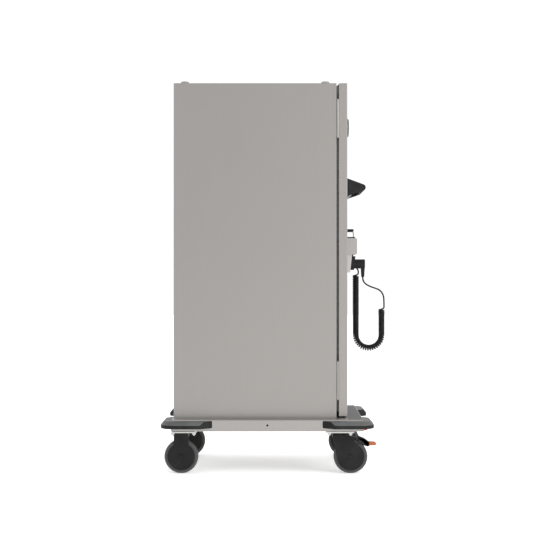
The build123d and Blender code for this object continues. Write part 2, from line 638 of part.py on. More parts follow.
def rack(side):
    """A side sheet with its tray ledges, braced beneath."""
    front, rear = BODY_FRONT_Y + RACK_FRONT_SETBACK, CAVITY_REAR_Y - RACK_REAR_SETBACK
    wall_x, face_x = CAVITY_X, CAVITY_X - RACK_SHEET
    tip_x = face_x - LEDGE_WIDTH
    sheet = block(face_x, wall_x, front, rear, CAVITY_FLOOR + RACK_FOOT, CAVITY_TOP - RACK_FOOT)
    ledge = front_profile([(face_x, 0), (tip_x, 0), (tip_x, -LEDGE_LIP), (face_x, -LEDGE_ROOT)], front, rear)
    pieces = [sheet.solid()]
    for i in range(LEDGE_COUNT):
        pieces.append((Pos(0, 0, CAVITY_FLOOR + LEDGE_FIRST + i * LEDGE_PITCH) * ledge).solid())
    if side < 0:
        pieces = [mirror(p, Plane.YZ).solid() for p in pieces]
    return Compound(children=pieces)


# Door


def module_cutout(y0, y1):
    """The window through the door for the module's duct."""
    half = DUCT_WIDTH / 2 + CUTOUT_CLEARANCE
    return block(-half, half, y0, y1, DUCT_BOTTOM - CUTOUT_CLEARANCE, DUCT_TOP + CUTOUT_CLEARANCE)


def latch_pocket(y0, y1, clearance):
    """The space that the latch case takes in the door."""
    high = LATCH_STRIKE_X + STRIKE_THICKNESS + STRIKE_SLOT_CLEARANCE
    low = high - LATCH_CASE_LENGTH
    half = LATCH_CASE_HEIGHT / 2 + clearance
    return block(low - clearance, high + clearance, y0, y1, LATCH_Z - half, LATCH_Z + half)


def strike_slot():
    """The slot in the door's inner face that the strike goes through."""
    c = STRIKE_SLOT_CLEARANCE
    return block(LATCH_STRIKE_X - c, LATCH_STRIKE_X + STRIKE_THICKNESS + c, DOOR_INNER_Y - LATCH_CASE_WALL - SKIN,
                 DOOR_INNER_Y, LATCH_Z - STRIKE_HEIGHT / 2 - c, LATCH_Z + STRIKE_HEIGHT / 2 + c)


def door_outer_panel():
    """A pan of thin sheet: the face and its four returned edges."""
    whole = block(-BODY_SIDE_X, BODY_SIDE_X, DOOR_FACE_Y, DOOR_INNER_Y, DOOR_BOTTOM, BODY_TOP)
    whole = fillet(whole.edges().filter_by(Axis.Y) + whole.faces().sort_by(Axis.Y)[0].edges(), SHEET_BEND)
    void = block(-BODY_SIDE_X + SKIN, BODY_SIDE_X - SKIN, DOOR_FACE_Y + SKIN, DOOR_INNER_Y,
                 DOOR_BOTTOM + SKIN, BODY_TOP - SKIN)
    stem = rod_y(GAUGE_STEM_DIAMETER, 0, DOOR_FACE_Y, DOOR_INNER_Y, GAUGE_Z)
    return whole - void - module_cutout(DOOR_FACE_Y, DOOR_INNER_Y) - stem


def door_core():
    """The insulation inside the door, with room for the latch case and the module."""
    slab = block(-BODY_SIDE_X + SKIN, BODY_SIDE_X - SKIN, DOOR_FACE_Y + SKIN, DOOR_INNER_Y - SKIN,
                 DOOR_BOTTOM + SKIN, BODY_TOP - SKIN)
    stem = rod_y(GAUGE_STEM_DIAMETER, 0, DOOR_FACE_Y, DOOR_INNER_Y, GAUGE_Z)
    pocket = latch_pocket(DOOR_INNER_Y - SKIN - LATCH_CASE_DEPTH, DOOR_INNER_Y - SKIN, 0)
    return slab - module_cutout(DOOR_FACE_Y, DOOR_INNER_Y) - pocket - stem


def door_inner_panel():
    """The sheet that closes the pan on the cabinet's side."""
    sheet = block(-BODY_SIDE_X + SKIN, BODY_SIDE_X - SKIN, DOOR_INNER_Y - SKIN, DOOR_INNER_Y,
                  DOOR_BOTTOM + SKIN, BODY_TOP - SKIN)
    stem = rod_y(GAUGE_STEM_DIAMETER, 0, DOOR_FACE_Y, DOOR_INNER_Y, GAUGE_Z)
    return sheet - module_cutout(DOOR_FACE_Y, DOOR_INNER_Y) - strike_slot() - stem


def door_seal():
    """A rubber frame with a wide foot on the door and a narrower lip towards the cabinet."""
    half = BODY_SIDE_X - SEAL_INSET
    low, high = CHASSIS_TOP + SEAL_INSET, BODY_TOP - SEAL_TOP_INSET
    foot_y = DOOR_INNER_Y + SEAL_BASE_DEPTH
    step = (SEAL_BASE_WIDTH - SEAL_LIP_WIDTH) / 2
    foot = ring(half, low, high, DOOR_INNER_Y, foot_y, SEAL_BASE_WIDTH)
    lip = ring(half - step, low + step, high - step, foot_y, BODY_FRONT_Y - SEAL_CLEARANCE, SEAL_LIP_WIDTH)
    return foot + lip


def hinge_spans(middle_z):
    """Heights of the two end knuckles and of the one between them."""
    low, high = middle_z - HINGE_LENGTH / 2, middle_z + HINGE_LENGTH / 2
    ends = [(low, low + HINGE_END_KNUCKLE), (high - HINGE_END_KNUCKLE, high)]
    middle = (low + HINGE_END_KNUCKLE + KNUCKLE_GAP, high - HINGE_END_KNUCKLE - KNUCKLE_GAP)
    return low, high, ends, middle


def hinge_leaf(low, high, spans, face_y, depth):
    """A flat leaf on face_y, with tabs out to its own knuckles."""
    barrel_edge = HINGE_X + HINGE_BARREL_DIAMETER / 2
    y0, y1 = sorted((face_y, face_y + depth))
    leaf = block(barrel_edge + KNUCKLE_GAP, barrel_edge + HINGE_LEAF_WIDTH, y0, y1, low, high)
    for z0, z1 in spans:
        tab = block(HINGE_X, barrel_edge + KNUCKLE_GAP, y0, y1, z0, z1)
        leaf = leaf + tab + rod_z(HINGE_BARREL_DIAMETER, HINGE_X, HINGE_Y, z0, z1)
    return leaf


def cabinet_hinges():
    """The fixed leaves, on the front frame, each with the pin that is fast in its two knuckles."""
    hinges = []
    for z in (HINGE_LOW_Z, HINGE_HIGH_Z):
        low, high, ends, _ = hinge_spans(z)
        leaf = hinge_leaf(low, high, ends, BODY_FRONT_Y, -HINGE_LEAF_THICKNESS)
        pin = rod_z(HINGE_PIN_DIAMETER, HINGE_X, HINGE_Y, low - PIN_HEAD_HEIGHT, high + PIN_HEAD_HEIGHT)
        hinges.append((leaf + pin).solid())
    return Compound(children=hinges)


def door_hinge_leaves():
    """The moving leaves, on the door's inner face, with one bored knuckle each."""
    leaves = []
    for z in (HINGE_LOW_Z, HINGE_HIGH_Z):
        low, high, _, middle = hinge_spans(z)
        leaf = hinge_leaf(low, high, [middle], DOOR_INNER_Y, HINGE_LEAF_THICKNESS)
        bore = rod_z(HINGE_PIN_DIAMETER + 2 * RUNNING_CLEARANCE, HINGE_X, HINGE_Y, *middle)
        leaves.append((leaf - bore).solid())
    return Compound(children=leaves)


def push_handle():
    """A wedge with a rounded nose, hollow from beneath: back plate, roof, nose grip and two end walls."""
    half = HANDLE_WIDTH / 2
    face = DOOR_FACE_Y
    nose_y = face - HANDLE_REACH + HANDLE_NOSE_RADIUS
    wedge = Polyline((face, HANDLE_BOTTOM), (face, HANDLE_TOP))
    nose = Pos(nose_y, HANDLE_NOSE_Z) * CenterArc((0, 0), HANDLE_NOSE_RADIUS, 0, 360)
    outline = Plane(origin=(0, 0, 0), x_dir=(0, 1, 0), z_dir=(1, 0, 0)) * make_hull(nose.edges() + wedge.edges())
    body = Pos(-half, 0, 0) * extrude(outline, HANDLE_WIDTH)
    back_y = face - HANDLE_BACK
    grip_y = face - HANDLE_REACH + HANDLE_GRIP_THICKNESS
    slope = (HANDLE_NOSE_Z + HANDLE_NOSE_RADIUS - HANDLE_TOP) / (nose_y - face)
    roof_back = HANDLE_TOP - HANDLE_WALL + slope * (back_y - face)
    roof_grip = HANDLE_TOP - HANDLE_WALL + slope * (grip_y - face)
    mouth = HANDLE_BOTTOM - HANDLE_WALL
    hollow = side_profile([(back_y, mouth), (back_y, roof_back), (grip_y, roof_grip), (grip_y, mouth)],
                          HANDLE_WALL - half, half - HANDLE_WALL)
    pins = rod_x(PADDLE_PIN_DIAMETER, -half + 1.0, half - 1.0, PADDLE_PIVOT_Y, PADDLE_PIVOT_Z)
    return body - hollow - pins


def release_paddle():
    """A flap across the hollow, hung on pins in the end walls, with a rolled lower edge."""
    half = HANDLE_WIDTH / 2 - HANDLE_WALL - PADDLE_SIDE_CLEARANCE
    t = PADDLE_THICKNESS / 2
    y, z = PADDLE_PIVOT_Y, PADDLE_PIVOT_Z
    lip_y = y - t - PADDLE_LIP
    flap = side_profile([(y + t, z), (y + t, PADDLE_BOTTOM), (lip_y, PADDLE_BOTTOM),
                         (lip_y, PADDLE_BOTTOM + PADDLE_LIP), (y - t, PADDLE_BOTTOM + 2 * PADDLE_LIP),
                         (y - t, z)], -half, half)
    barrel = rod_x(PADDLE_THICKNESS + 3.0, -half, half, y, z)
    pin = rod_x(PADDLE_PIN_DIAMETER - 2 * RUNNING_CLEARANCE, -HANDLE_WIDTH / 2 + 1.2, HANDLE_WIDTH / 2 - 1.2, y, z)
    return flap + barrel + pin


def latch_case():
    """A sheet box in the door's edge that guides the bolt, open to the strike slot."""
    high = LATCH_STRIKE_X + STRIKE_THICKNESS + STRIKE_SLOT_CLEARANCE
    w = LATCH_CASE_WALL
    y0, y1 = DOOR_INNER_Y - SKIN - LATCH_CASE_DEPTH, DOOR_INNER_Y - SKIN
    shell = latch_pocket(y0, y1, 0) - latch_pocket(y0 + w, y1 - w, -w)
    guide_high = LATCH_STRIKE_X - STRIKE_SLOT_CLEARANCE - 2.0
    guide = block(guide_high - 6.0, guide_high, y0 + w, y1 - w, LATCH_Z - BOLT_HEIGHT / 2 - 4.0,
                  LATCH_Z + BOLT_HEIGHT / 2 + 4.0)
    c = BOLT_CLEARANCE
    middle = (y0 + y1) / 2
    passage = block(high - LATCH_CASE_LENGTH, guide_high + 1.0, middle - BOLT_DEPTH / 2 - c,
                    middle + BOLT_DEPTH / 2 + c, LATCH_Z - BOLT_HEIGHT / 2 - c, LATCH_Z + BOLT_HEIGHT / 2 + c)
    return shell + guide - passage - strike_slot()


def latch_bolt():
    """The sliding bolt, bevelled at its tip, drawn back by the paddle."""
    middle = DOOR_INNER_Y - SKIN - LATCH_CASE_DEPTH / 2
    tip = LATCH_STRIKE_X - BOLT_CLEARANCE
    y0, y1 = middle - BOLT_DEPTH / 2, middle + BOLT_DEPTH / 2
    face = make_face(Polyline((tip - BOLT_LENGTH, y0, 0), (tip, y0, 0), (tip, y0 + 2.0, 0), (tip - 6.0, y1, 0),
                              (tip - BOLT_LENGTH, y1, 0), close=True))
    return Pos(0, 0, LATCH_Z - BOLT_HEIGHT / 2) * extrude(face, BOLT_HEIGHT, dir=(0, 0, 1))


def strike_plate():
    """An angle on the front frame whose blade stands out into the door."""
    x = LATCH_STRIKE_X
    half = STRIKE_HEIGHT / 2
    blade = block(x, x + STRIKE_THICKNESS, BODY_FRONT_Y - STRIKE_REACH, BODY_FRONT_Y, LATCH_Z - half, LATCH_Z + half)
    foot = block(x - 5.0, BODY_SIDE_X, BODY_FRONT_Y - 2.0, BODY_FRONT_Y, LATCH_Z - half, LATCH_Z + half)
    return blade + foot


# Thermometer


def thermometer_case():
    """A round case with a bevelled bezel, and the stem that reaches through the door."""
    r = GAUGE_DIAMETER / 2
    dial_r = r - GAUGE_BEZEL
    floor = GAUGE_HEIGHT - GAUGE_RECESS
    case = turned_about_y([(0, 0), (r, 0), (r, GAUGE_HEIGHT - GAUGE_BEVEL), (r - GAUGE_BEVEL, GAUGE_HEIGHT),
                           (dial_r, GAUGE_HEIGHT), (dial_r, floor), (0, floor)], 0, DOOR_FACE_Y, GAUGE_Z)
    stem = rod_y(GAUGE_STEM_DIAMETER, 0, DOOR_FACE_Y, BODY_FRONT_Y + 8.0, GAUGE_Z)
    return case + stem


def thermometer_glass():
    """The window over the dial."""
    r = GAUGE_DIAMETER / 2 - GAUGE_BEZEL
    face = DOOR_FACE_Y - GAUGE_HEIGHT
    return rod_y(2 * r, 0, face, face + GLASS_THICKNESS, GAUGE_Z)


def thermometer_needle():
    """A tapered pointer on a small hub."""
    y0 = NEEDLE_Y - NEEDLE_LIFT - NEEDLE_THICKNESS
    y1 = NEEDLE_Y - NEEDLE_LIFT
    w = NEEDLE_WIDTH / 2
    turn = math.radians(-135)
    corners = [(0.4, NEEDLE_LENGTH), (w, 0), (w, -NEEDLE_TAIL), (-w, -NEEDLE_TAIL), (-w, 0), (-0.4, NEEDLE_LENGTH)]
    turned = [(a * math.cos(turn) + b * math.sin(turn), GAUGE_Z - a * math.sin(turn) + b * math.cos(turn))
              for a, b in corners]
    hub = rod_y(NEEDLE_HUB_DIAMETER, 0, y0 - 0.4, y1 + NEEDLE_LIFT - 0.1, GAUGE_Z)
    return front_profile(turned, y0, y1) + hub


# Heating module


def module_housing():
    """Mounting flange, rounded hollow housing, cup for the dial, and the slanted bracket of the socket."""
    half = MODULE_WIDTH / 2
    face = DOOR_FACE_Y
    outer = block(-half, half, MODULE_FACE_Y, face, MODULE_BOTTOM, MODULE_TOP)
    edges = outer.edges().filter_by(Axis.X).filter_by_position(Axis.Y, MODULE_FACE_Y - 0.01, MODULE_FACE_Y + 0.01)
    outer = fillet(edges, MODULE_EDGE_RADIUS)
    w = MODULE_WALL
    void = block(-half + w, half - w, MODULE_FACE_Y + w, face, MODULE_BOTTOM + w, MODULE_TOP - w)
    void = fillet(void.edges().filter_by(Axis.X).filter_by_position(
        Axis.Y, MODULE_FACE_Y + w - 0.01, MODULE_FACE_Y + w + 0.01), MODULE_EDGE_RADIUS - w)
    flange = block(-FLANGE_WIDTH / 2, FLANGE_WIDTH / 2, face - FLANGE_THICKNESS, face, FLANGE_BOTTOM, FLANGE_TOP)
    window = block(-DUCT_WIDTH / 2, DUCT_WIDTH / 2, face - FLANGE_THICKNESS, face, MODULE_BOTTOM + w,
                   MODULE_TOP - w)
    cup_r = DIAL_DIAMETER / 2 + DIAL_CLEARANCE
    cup_depth = DIAL_THICKNESS + DIAL_CLEARANCE + DIAL_CUP_WALL
    cup = rod_y(2 * (cup_r + DIAL_CUP_WALL), DIAL_X, MODULE_FACE_Y + w, MODULE_FACE_Y + cup_depth, MODULE_MIDDLE_Z)
    recess = rod_y(2 * cup_r, DIAL_X, MODULE_FACE_Y, MODULE_FACE_Y + DIAL_THICKNESS + DIAL_CLEARANCE,
                   MODULE_MIDDLE_Z)
    shaft = rod_y(DIAL_SHAFT_DIAMETER + 2 * RUNNING_CLEARANCE, DIAL_X, MODULE_FACE_Y, MODULE_FACE_Y + cup_depth,
                  MODULE_MIDDLE_Z)
    sw = SWITCH_WIDTH / 2 + SWITCH_CLEARANCE
    sh = SWITCH_HEIGHT / 2 + SWITCH_CLEARANCE
    switch_cup = block(SWITCH_X - sw - w, SWITCH_X + sw + w, MODULE_FACE_Y + w, SWITCH_PIVOT_Y + SWITCH_DEPTH,
                       MODULE_MIDDLE_Z - sh - w, MODULE_MIDDLE_Z + sh + w)
    switch_room = block(SWITCH_X - sw, SWITCH_X + sw, MODULE_FACE_Y, SWITCH_PIVOT_Y + SWITCH_DEPTH - w,
                        MODULE_MIDDLE_Z - sh, MODULE_MIDDLE_Z + sh)
    housing = (outer - void + flange - window) + cup + switch_cup - recess - shaft - switch_room
    return housing + socket_bracket()


def socket_bracket():
    """Bent sheet under the housing: a slanted front with a hole for the socket cup, and two cheeks."""
    half = SOCKET_WIDTH / 2 + BRACKET_MARGIN
    face = DOOR_FACE_Y - FLANGE_THICKNESS
    rate = SOCKET_SLANT / (SOCKET_TOP - SOCKET_BOTTOM)
    back_top = DOOR_FACE_Y - SOCKET_TOP_REACH + SOCKET_FLANGE
    top_y = back_top - rate * (MODULE_BOTTOM - SOCKET_TOP)
    low_y = back_top + rate * (SOCKET_TOP - BRACKET_BOTTOM)
    s = BRACKET_SHEET
    outer = side_profile([(face, MODULE_BOTTOM), (top_y, MODULE_BOTTOM), (low_y, BRACKET_BOTTOM),
                          (face, BRACKET_BOTTOM)], PLUG_X - half, PLUG_X + half)
    inner = side_profile([(face, MODULE_BOTTOM), (top_y + s, MODULE_BOTTOM), (low_y + s, BRACKET_BOTTOM + s),
                          (face, BRACKET_BOTTOM + s)], PLUG_X - half + s, PLUG_X + half - s)
    hole = rod_y(PLUG_DIAMETER + 2 * SOCKET_CUP_WALL, PLUG_X, MODULE_FACE_Y, face, PLUG_Z)
    return outer - inner - hole


def module_grip():
    """A bow of thick and thin strap: a level top leg and an upright web down to the housing."""
    half = GRIP_WIDTH / 2
    face = DOOR_FACE_Y - FLANGE_THICKNESS
    front = DOOR_FACE_Y - GRIP_REACH
    leg = block(-half, half, front, face, GRIP_TOP - GRIP_LEG_THICKNESS, GRIP_TOP)
    web = block(-half, half, front, front + GRIP_WEB_THICKNESS, MODULE_TOP, GRIP_TOP)
    bow = leg + web
    corner = bow.edges().filter_by(Axis.X).filter_by_position(Axis.Z, GRIP_TOP - 0.01, GRIP_TOP + 0.01).sort_by(
        Axis.Y)[0]
    return fillet(corner, GRIP_CORNER_RADIUS)


def control_dial():
    """A flush dial with a finger bar across it, on a short shaft."""
    face = MODULE_FACE_Y + 0.8
    disc = rod_y(DIAL_DIAMETER, DIAL_X, face + 3.0, face + DIAL_THICKNESS, MODULE_MIDDLE_Z)
    bar = block(DIAL_X - 3.5, DIAL_X + 3.5, face, face + 3.0, MODULE_MIDDLE_Z - DIAL_DIAMETER / 2 + 3.0,
                MODULE_MIDDLE_Z + DIAL_DIAMETER / 2 - 3.0)
    shaft = rod_y(DIAL_SHAFT_DIAMETER, DIAL_X, face + DIAL_THICKNESS, face + DIAL_THICKNESS + 6.0, MODULE_MIDDLE_Z)
    return disc + bar + shaft


def rocker_switch():
    """A rocker with a shallow V face, at rest with its upper half pressed in."""
    half = SWITCH_WIDTH / 2
    long = SWITCH_HEIGHT / 2 - 1.5
    rise = long * math.tan(math.radians(SWITCH_TILT))
    front, back = -SWITCH_DEPTH / 2 + 1.2, SWITCH_DEPTH / 2 - 2.0
    shape = side_profile([(back, -long + 4.0), (front, -long), (front + rise, 0), (front, long),
                          (back, long - 4.0)], -half, half)
    return Pos(SWITCH_X, SWITCH_PIVOT_Y, MODULE_MIDDLE_Z) * Rot(SWITCH_TILT, 0, 0) * shape


def module_duct():
    """The box that passes through the door, with air slots in its inner end."""
    half = DUCT_WIDTH / 2
    w = MODULE_WALL
    box = block(-half, half, DOOR_FACE_Y, DUCT_INNER_Y, DUCT_BOTTOM, DUCT_TOP)
    void = block(-half + w, half - w, DOOR_FACE_Y, DUCT_INNER_Y - w, DUCT_BOTTOM + w, DUCT_TOP - w)
    duct = box - void
    pitch = (DUCT_WIDTH - 2 * DUCT_SLOT_MARGIN) / DUCT_SLOTS
    for i in range(DUCT_SLOTS):
        x = (i - (DUCT_SLOTS - 1) / 2) * pitch
        duct = duct - block(x - DUCT_SLOT_WIDTH / 2, x + DUCT_SLOT_WIDTH / 2, DUCT_INNER_Y - w, DUCT_INNER_Y,
                            DUCT_BOTTOM + DUCT_SLOT_MARGIN, DUCT_TOP - DUCT_SLOT_MARGIN)
    return duct


def heater_element():
    """A square-section heating rod, bent to a loop round the fan."""
    y = DUCT_INNER_Y - MODULE_WALL - 12.0
    z = (DUCT_BOTTOM + DUCT_TOP) / 2
    outer = RectangleRounded(HEATER_WIDTH, HEATER_HEIGHT, HEATER_BEND)
    inner = RectangleRounded(HEATER_WIDTH - 2 * HEATER_WIRE, HEATER_HEIGHT - 2 * HEATER_WIRE,
                             HEATER_BEND - HEATER_WIRE)
    loop = extrude(outer - inner, HEATER_WIRE / 2, both=True)
    return Pos(0, y, z) * Rot(90, 0, 0) * loop


def fan_motor():
    """The motor can in the housing, with its back plate on the housing's wall."""
    start = DOOR_FACE_Y - MODULE_REACH + MODULE_WALL
    can = rod_y(MOTOR_DIAMETER, 0, start, start + MOTOR_LENGTH, FAN_Z)
    bore = rod_y(FAN_SHAFT_DIAMETER + 2 * RUNNING_CLEARANCE, 0, start + 6.0, start + MOTOR_LENGTH, FAN_Z)
    return can - bore


def fan_impeller():
    """Back disc, radial blades and the shaft that runs in the motor."""
    disc_y = DOOR_FACE_Y + 14.0
    r = FAN_DIAMETER / 2
    wheel = rod_y(FAN_DIAMETER, 0, disc_y, disc_y + FAN_DISC, FAN_Z)
    blade = block(12.0, r - 1.0, disc_y + FAN_DISC, disc_y + FAN_DISC + FAN_BLADE_HEIGHT,
                  -FAN_BLADE_THICKNESS / 2, FAN_BLADE_THICKNESS / 2)
    for i in range(FAN_BLADES):
        wheel = wheel + Pos(0, 0, FAN_Z) * Rot(0, i * 360 / FAN_BLADES, 0) * blade
    start = DOOR_FACE_Y - MODULE_REACH + MODULE_WALL + 8.0
    return wheel + rod_y(FAN_SHAFT_DIAMETER, 0, start, disc_y, FAN_Z)


def parking_socket():
    """A slanted flange and the cup behind it that holds the parked plug."""
    half = SOCKET_WIDTH / 2
    front_top = DOOR_FACE_Y - SOCKET_TOP_REACH
    front_low = front_top + SOCKET_SLANT
    flange = side_profile([(front_top, SOCKET_TOP), (front_low, SOCKET_BOTTOM),
                           (front_low + SOCKET_FLANGE, SOCKET_BOTTOM), (front_top + SOCKET_FLANGE, SOCKET_TOP)],
                          PLUG_X - half, PLUG_X + half)
    seat_y = DOOR_FACE_Y - PLUG_SEAT
    back_y = seat_y + SOCKET_FLOOR + PLUG_PIN_LENGTH
    cup = rod_y(PLUG_DIAMETER + 2 * SOCKET_CUP_WALL, PLUG_X, front_top + SOCKET_SLANT, back_y, PLUG_Z)
    bore = rod_y(PLUG_DIAMETER + 0.4, PLUG_X, front_top - 5.0, seat_y, PLUG_Z)
    socket = flange + cup - bore
    for across in (-0.5, 0.5):
        socket = socket - rod_y(PLUG_PIN_DIAMETER + 0.4, PLUG_X + across * PLUG_PIN_PITCH, seat_y,
                                seat_y + PLUG_PIN_LENGTH + 1.0, PLUG_Z)
    return socket


def mains_plug():
    """Round plug body with two pins, and a square neck that turns down to the cord."""
    seat_y = DOOR_FACE_Y - PLUG_SEAT
    end_y = DOOR_FACE_Y - PLUG_REACH
    body = rod_y(PLUG_DIAMETER, PLUG_X, end_y, seat_y, PLUG_Z)
    half = PLUG_NECK_WIDTH / 2
    neck = Pos(PLUG_X, end_y + half, 0) * loft([
        Pos(0, 0, PLUG_Z) * Rectangle(PLUG_DIAMETER * 0.8, PLUG_NECK_WIDTH),
        Pos(0, 0, PLUG_Z - PLUG_DIAMETER / 2) * Rectangle(PLUG_NECK_WIDTH + 4.0, PLUG_NECK_WIDTH),
    ], ruled=True)
    tail = Pos(PLUG_X, end_y + half, 0) * loft([
        Pos(0, 0, PLUG_Z - PLUG_DIAMETER / 2) * Rectangle(PLUG_NECK_WIDTH, PLUG_NECK_WIDTH - 1.0),
        Pos(0, 0, PLUG_NECK_BOTTOM) * Rectangle(PLUG_NECK_WIDTH * 0.7, PLUG_NECK_WIDTH * 0.7),
    ], ruled=True)
    plug = body + neck + tail
    for across in (-0.5, 0.5):
        plug = plug + rod_y(PLUG_PIN_DIAMETER, PLUG_X + across * PLUG_PIN_PITCH, seat_y,
                            seat_y + PLUG_PIN_LENGTH, PLUG_Z)
    return plug


# Mains cord

GLAND_Y = DOOR_FACE_Y - GLAND_REACH
GLAND_TIP_Z = MODULE_BOTTOM - GLAND_NUT_HEIGHT - GLAND_TAPER_HEIGHT
PLUG_CORD_Y = DOOR_FACE_Y - PLUG_REACH + PLUG_NECK_WIDTH / 2
CURL_RADIUS = (CURL_DIAMETER - WIRE_DIAMETER) / 2
NEAR_Y = DOOR_FACE_Y - CURL_NEAR_REACH
FAR_Y = DOOR_FACE_Y - CURL_FAR_REACH
CURL_START = Vector(0, NEAR_Y - CURL_RADIUS, CURL_NEAR_TOP + 2 * WIRE_DIAMETER)
CURL_END = Vector(0, FAR_Y - CURL_RADIUS, CURL_FAR_TOP + 2 * WIRE_DIAMETER)

GLAND_ROUTE = [
    (GLAND_X, GLAND_Y, GLAND_TIP_Z),
    (GLAND_X, GLAND_Y, GLAND_TIP_Z - 13.0),
    (0, CURL_START.Y, CURL_START.Z + 13.0),
    (0, CURL_START.Y, CURL_START.Z),
]
PLUG_ROUTE = [
    (PLUG_X, PLUG_CORD_Y, PLUG_NECK_BOTTOM),
    (PLUG_X, PLUG_CORD_Y, PLUG_NECK_BOTTOM - 17.0),
    (PLUG_X + 3.0, PLUG_CORD_Y - 18.4, PLUG_NECK_BOTTOM - 32.5),
    (PLUG_X + 12.0, PLUG_CORD_Y - 42.9, PLUG_NECK_BOTTOM - 41.5),
    (-8.0, CURL_END.Y + 17.4, CURL_END.Z + 64.6),
    (-2.0, CURL_END.Y + 1.9, CURL_END.Z + 44.6),
    (0, CURL_END.Y, CURL_END.Z + 22.6),
    (0, CURL_END.Y, CURL_END.Z),
]


def cable_gland():
    """Hexagon nut under the housing with a tapered sleeve for the cord, in flats."""
    nut_z = MODULE_BOTTOM - GLAND_NUT_HEIGHT
    nut = Pos(GLAND_X, GLAND_Y, nut_z) * extrude(RegularPolygon(GLAND_FLATS / 2, 6, major_radius=False),
                                                GLAND_NUT_HEIGHT)
    sleeve = Pos(GLAND_X, GLAND_Y, nut_z) * loft([
        RegularPolygon(GLAND_FLATS / 2, GLAND_SIDES),
        Pos(0, 0, -GLAND_TAPER_HEIGHT) * RegularPolygon(GLAND_TIP_DIAMETER / 2, GLAND_SIDES),
    ], ruled=True)
    return nut + sleeve


def lead(route, name):
    """The wire along a hand-chosen route, every corner rounded by the largest arc that fits."""
    points = [Vector(*p) for p in route]
    radii = []
    for before, here, after in zip(points, points[1:], points[2:]):
        run = min((here - before).length, (after - here).length)
        half_turn = math.radians((here - before).get_angle(after - here)) / 2
        radii.append(0.45 * run / math.tan(half_turn))
    path = FilletPolyline(*points, radius=radii)
    start = Plane(origin=points[0], z_dir=path.tangent_at(0), x_dir=(1, 0, 0))
    section = start * RegularPolygon(WIRE_DIAMETER / 2, WIRE_SIDES)
    tube = sweep(section, path=path)
    print(name, "radii", [round(r, 1) for r in radii], "length", round(path.length, 1),
          "volume", round(tube.volume), "section x length", round(section.area * path.length))
    return tube, path.length


def curl_axis(turn):
    """Point and heading of the line that the curls wind round: down, round the bend and up.
    It starts at the origin, and the finished winding is then moved to its place."""
    spread = CURL_FAR_REACH - CURL_NEAR_REACH
    if turn < NEAR_TURNS:
        return Vector(0, 0, -CURL_NEAR_LENGTH * turn / NEAR_TURNS), Vector(0, 0, -1)
    if turn < NEAR_TURNS + BEND_TURNS:
        a = math.pi * (turn - NEAR_TURNS) / BEND_TURNS
        point = Vector(0, (math.cos(a) - 1) * spread / 2, -CURL_NEAR_LENGTH - math.sin(a) * spread / 2)
        return point, Vector(0, -math.sin(a), -math.cos(a))
    rise = CURL_FAR_LENGTH * (turn - NEAR_TURNS - BEND_TURNS) / FAR_TURNS
    return Vector(0, -spread, rise - CURL_NEAR_LENGTH), Vector(0, 0, 1)


def curl_point(turn):
    """A point of the wire's middle line, so many turns along the curls."""
    centre, heading = curl_axis(turn)
    across = Vector(1, 0, 0)
    inward = heading.cross(across)
    a = 2 * math.pi * turn + math.pi / 2
    return centre + across * (CURL_RADIUS * math.cos(a)) + inward * (CURL_RADIUS * math.sin(a))


def curl_heading(turn):
    """The wire's direction there."""
    return (curl_point(turn + 0.001) - curl_point(turn - 0.001)).normalized()


def biarc(p0, t0, p1, t1):
    """Two arcs from p0 to p1 that share a tangent where they meet."""
    v, t = p1 - p0, t0 + t1
    k = 2 * (1 - t0.dot(t1))
    d = (math.sqrt(v.dot(t) ** 2 + k * v.dot(v)) - v.dot(t)) / k
    middle = (p0 + p1 + (t0 - t1) * d) * 0.5
    first = Edge.make_tangent_arc(p0, t0, middle)
    return [first, Edge.make_tangent_arc(middle, first.tangent_at(1), p1)]


def spiral_cord():
    """The curls: one unbroken faceted wire on half-turn biarcs, with a straight end at each lead."""
    turns = NEAR_TURNS + BEND_TURNS + FAR_TURNS
    down, up = Vector(0, 0, -1), Vector(0, 0, 1)
    first, last = 0.25, turns - 0.25
    start = curl_point(0) + up * 2 * WIRE_DIAMETER
    end = curl_point(turns) + up * 2 * WIRE_DIAMETER
    start_bend, end_bend = start + down * WIRE_DIAMETER, end + down * WIRE_DIAMETER
    edges = [Edge.make_line(start, start_bend)]
    edges += biarc(start_bend, down, curl_point(first), curl_heading(first))
    steps = round(2 * turns) - 1
    stations = [first + (last - first) * i / steps for i in range(steps + 1)]
    for a, b in zip(stations, stations[1:]):
        edges += biarc(curl_point(a), curl_heading(a), curl_point(b), curl_heading(b))
    edges += biarc(curl_point(last), curl_heading(last), end_bend, up)
    edges.append(Edge.make_line(end_bend, end))
    path = Wire(edges)
    section = Plane(origin=start, z_dir=(0, 0, -1), x_dir=(1, 0, 0)) * RegularPolygon(WIRE_DIAMETER / 2, WIRE_SIDES)
    # Merging the arcs' faces can crash on so many turns, so the sweep leaves them as they are.
    wire = sweep(section, path=path, clean=False)
    per_turn = 24
    line = [curl_point(i / per_turn) for i in range(round(turns * per_turn) + 1)]
    gap = min((a - b).length for i, a in enumerate(line)
              for b in line[i + per_turn // 2:i + 2 * per_turn]) - WIRE_DIAMETER
    print("curls", turns, "wire length", round(path.length, 1), "least gap", round(gap, 2),
          "volume", round(wire.volume), "section x length", round(section.area * path.length))
    return Pos(0, NEAR_Y, CURL_NEAR_TOP) * wire, path.length


# Write every sub-part

save("chassis_tray", chassis_tray())
bumper_blank = bumper_block()
for end in ("front", "rear"):
    for side_name, side_sign in SIDES.items():
        save(f"bumper_{end}_{side_name}", bumper(bumper_blank, side_sign, end == "front"))

